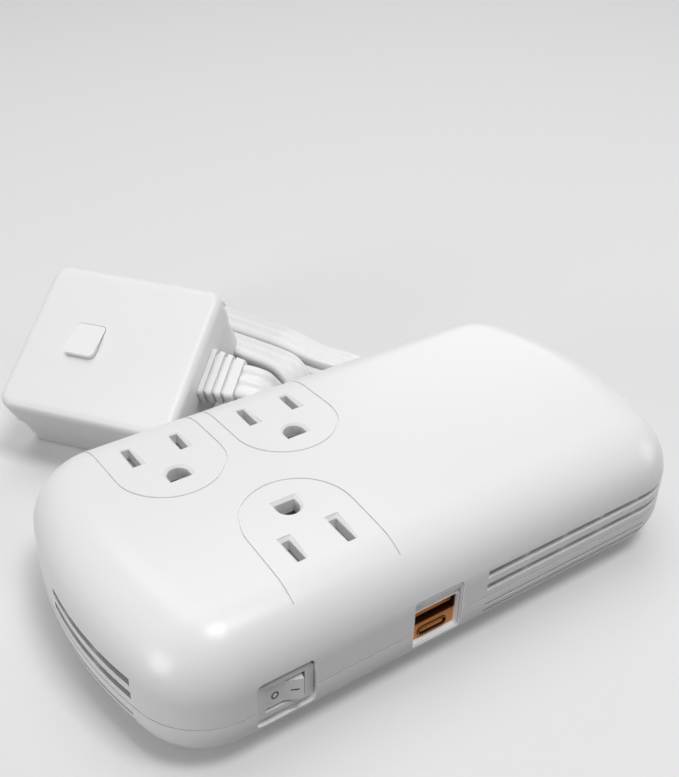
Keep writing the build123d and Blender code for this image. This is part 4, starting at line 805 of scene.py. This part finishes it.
def tongue(name, node, width, thickness, front_y, middle_z):
    """The insert of a port: a block that fills it at the back, and a rounded tongue."""
    low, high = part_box(node)
    middle_x = (low.x + high.x) / 2
    block_y = high.y - tongue_block_depth
    cut = min(tongue_cut, thickness / 2.5)
    # Each ring of the tongue: how far it is drawn in, and its y.
    marks = [
        (0.12 * mm, front_y), (0.03 * mm, front_y + 0.09 * mm), (0, front_y + 0.3 * mm), (0, block_y),
    ]
    rings = []
    for inset, y in marks:
        wide = width / 2 - inset
        tall = thickness / 2 - inset
        outline = cut_outline((middle_x - wide, middle_z - tall), (middle_x + wide, middle_z + tall), cut)
        rings.append([Vector((x, y, z)) for x, z in outline])
    for y in (block_y, high.y):
        outline = cut_outline((low.x, low.z), (high.x, high.z), cut)
        rings.append([Vector((x, y, z)) for x, z in outline])
    bm = bmesh.new()
    sweep(bm, rings)
    piece = new_piece(name, bm, "port_insert", smooth=40)
    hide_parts(node)


def contact_strips(name, node, width, thickness, front_y, middle_z, contacts, facing):
    """The strips along one face of a port's tongue: its upper one, or its lower one if facing is -1."""
    low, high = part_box(node)
    middle_x = (low.x + high.x) / 2
    pitch = width / (contacts + strip_margin)
    half = pitch * strip_half_share
    face_z = middle_z + facing * thickness / 2
    inner_z = face_z - facing * strip_sunk
    outer_z = face_z + facing * strip_proud
    bm = bmesh.new()
    for index in range(contacts):
        x = middle_x + (index - (contacts - 1) / 2) * pitch
        corners = ((x - half, inner_z), (x + half, inner_z), (x + half, outer_z), (x - half, outer_z))
        rings = []
        for y in (front_y + strip_setback, high.y - tongue_block_depth - 0.1 * mm):
            rings.append([Vector((corner_x, y, z)) for corner_x, z in corners])
        sweep(bm, rings)
    new_piece(name, bm, "contact_brass", smooth=30)


# Each port: its letter, the tongue's width, thickness, front and middle, the strips and their side.
ports = [
    ("a", 11.1 * mm, 2.2 * mm, -39.9 * mm, 16.7 * mm, 4, -1),
    ("c", 6.7 * mm, 0.9 * mm, -40.3 * mm, 10.75 * mm, 12, 1),
]
for letter, width, thickness, front_y, middle_z, contacts, facing in ports:
    name = f"usb_{letter}_tongue"
    node = f"usb_{letter}_insert"
    tongue(name, node, width, thickness, front_y, middle_z)
    contact_strips(name + "_strips", node, width, thickness, front_y, middle_z, contacts, facing)


# Studio: floor, lamps and world

world_light = 0.12
background = 0.86
floor_colour = (0.76, 0.76, 0.765, 1)
floor_lift = 0.1
floor_bounce = (0.2, 0.2, 0.2, 1)
floor_reach = 6.0
lamp_aim = Vector((0, 0.02, 0.02))


def seen_directly(tree):
    """One for camera, glossy and transmission rays."""
    path = tree.nodes.new("ShaderNodeLightPath")
    total = path.outputs["Is Camera Ray"]
    for output in ("Is Glossy Ray", "Is Transmission Ray"):
        join = tree.nodes.new("ShaderNodeMath")
        join.operation = "MAXIMUM"
        tree.links.new(total, join.inputs[0])
        tree.links.new(path.outputs[output], join.inputs[1])
        total = join.outputs[0]
    return total


def studio_world():
    """A white world, dim as a light and bright as a background."""
    world = bpy.data.worlds.new("studio")
    bpy.context.scene.world = world
    world.use_nodes = True
    tree = world.node_tree
    sky = tree.nodes["Background"]
    sky.inputs["Color"].default_value = (1, 1, 1, 1)
    strength = ranged(tree, seen_directly(tree), 0, 1, world_light, background)
    tree.links.new(strength, sky.inputs["Strength"])


def floor_material():
    """Pale where it is seen and dark where it throws light back, so that undersides stay shaded."""
    material = bpy.data.materials.new("floor")
    material.use_nodes = True
    tree = material.node_tree
    tree.nodes.clear()
    shown = tree.nodes.new("ShaderNodeBsdfDiffuse")
    shown.inputs["Color"].default_value = floor_colour
    lift = tree.nodes.new("ShaderNodeEmission")
    lift.inputs["Strength"].default_value = floor_lift
    both = tree.nodes.new("ShaderNodeAddShader")
    bounce = tree.nodes.new("ShaderNodeBsdfDiffuse")
    bounce.inputs["Color"].default_value = floor_bounce
    pick = tree.nodes.new("ShaderNodeMixShader")
    out = tree.nodes.new("ShaderNodeOutputMaterial")
    tree.links.new(shown.outputs[0], both.inputs[0])
    tree.links.new(lift.outputs[0], both.inputs[1])
    tree.links.new(seen_directly(tree), pick.inputs[0])
    tree.links.new(bounce.outputs[0], pick.inputs[1])
    tree.links.new(both.outputs[0], pick.inputs[2])
    tree.links.new(pick.outputs[0], out.inputs["Surface"])
    return material


def lamp(name, place, size, power):
    """A square soft box that faces the object."""
    data = bpy.data.lights.new(name, "AREA")
    data.size = size
    data.energy = power
    light = add_object(name, data)
    light.location = place
    light.rotation_euler = (lamp_aim - Vector(place)).to_track_quat("-Z", "Y").to_euler()


studio_world()

floor_mesh = bpy.data.meshes.new("floor")
floor_corners = [(x * floor_reach, y * floor_reach, 0) for x, y in ((-1, -1), (1, -1), (1, 1), (-1, 1))]
floor_mesh.from_pydata(floor_corners, [], [(0, 1, 2, 3)])
floor_mesh.materials.append(floor_material())
floor = add_object("floor", floor_mesh)
floor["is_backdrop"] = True

lamp("soft_box_above", (0.10, 0.40, 1.1), 0.9, 4.8)
lamp("soft_box_front", (0.10, -0.35, 1.15), 0.35, 5.8)
lamp("soft_box_left", (-1.1, -0.15, 0.25), 0.5, 4.4)
lamp("soft_box_right", (1.0, -0.45, 0.3), 0.5, 1.9)
lamp("soft_box_far", (0.8, 0.8, 0.5), 0.5, 1.0)


# The plug's pieces, and the model's size

plug_pieces = ["plug_strain_relief", "plug_cover", "plug_base", "plug_screws", "plug_pin_plate"]
plug_pieces += ["plug_pins", "plug_button", "inlet_strain_relief"]

low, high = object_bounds()
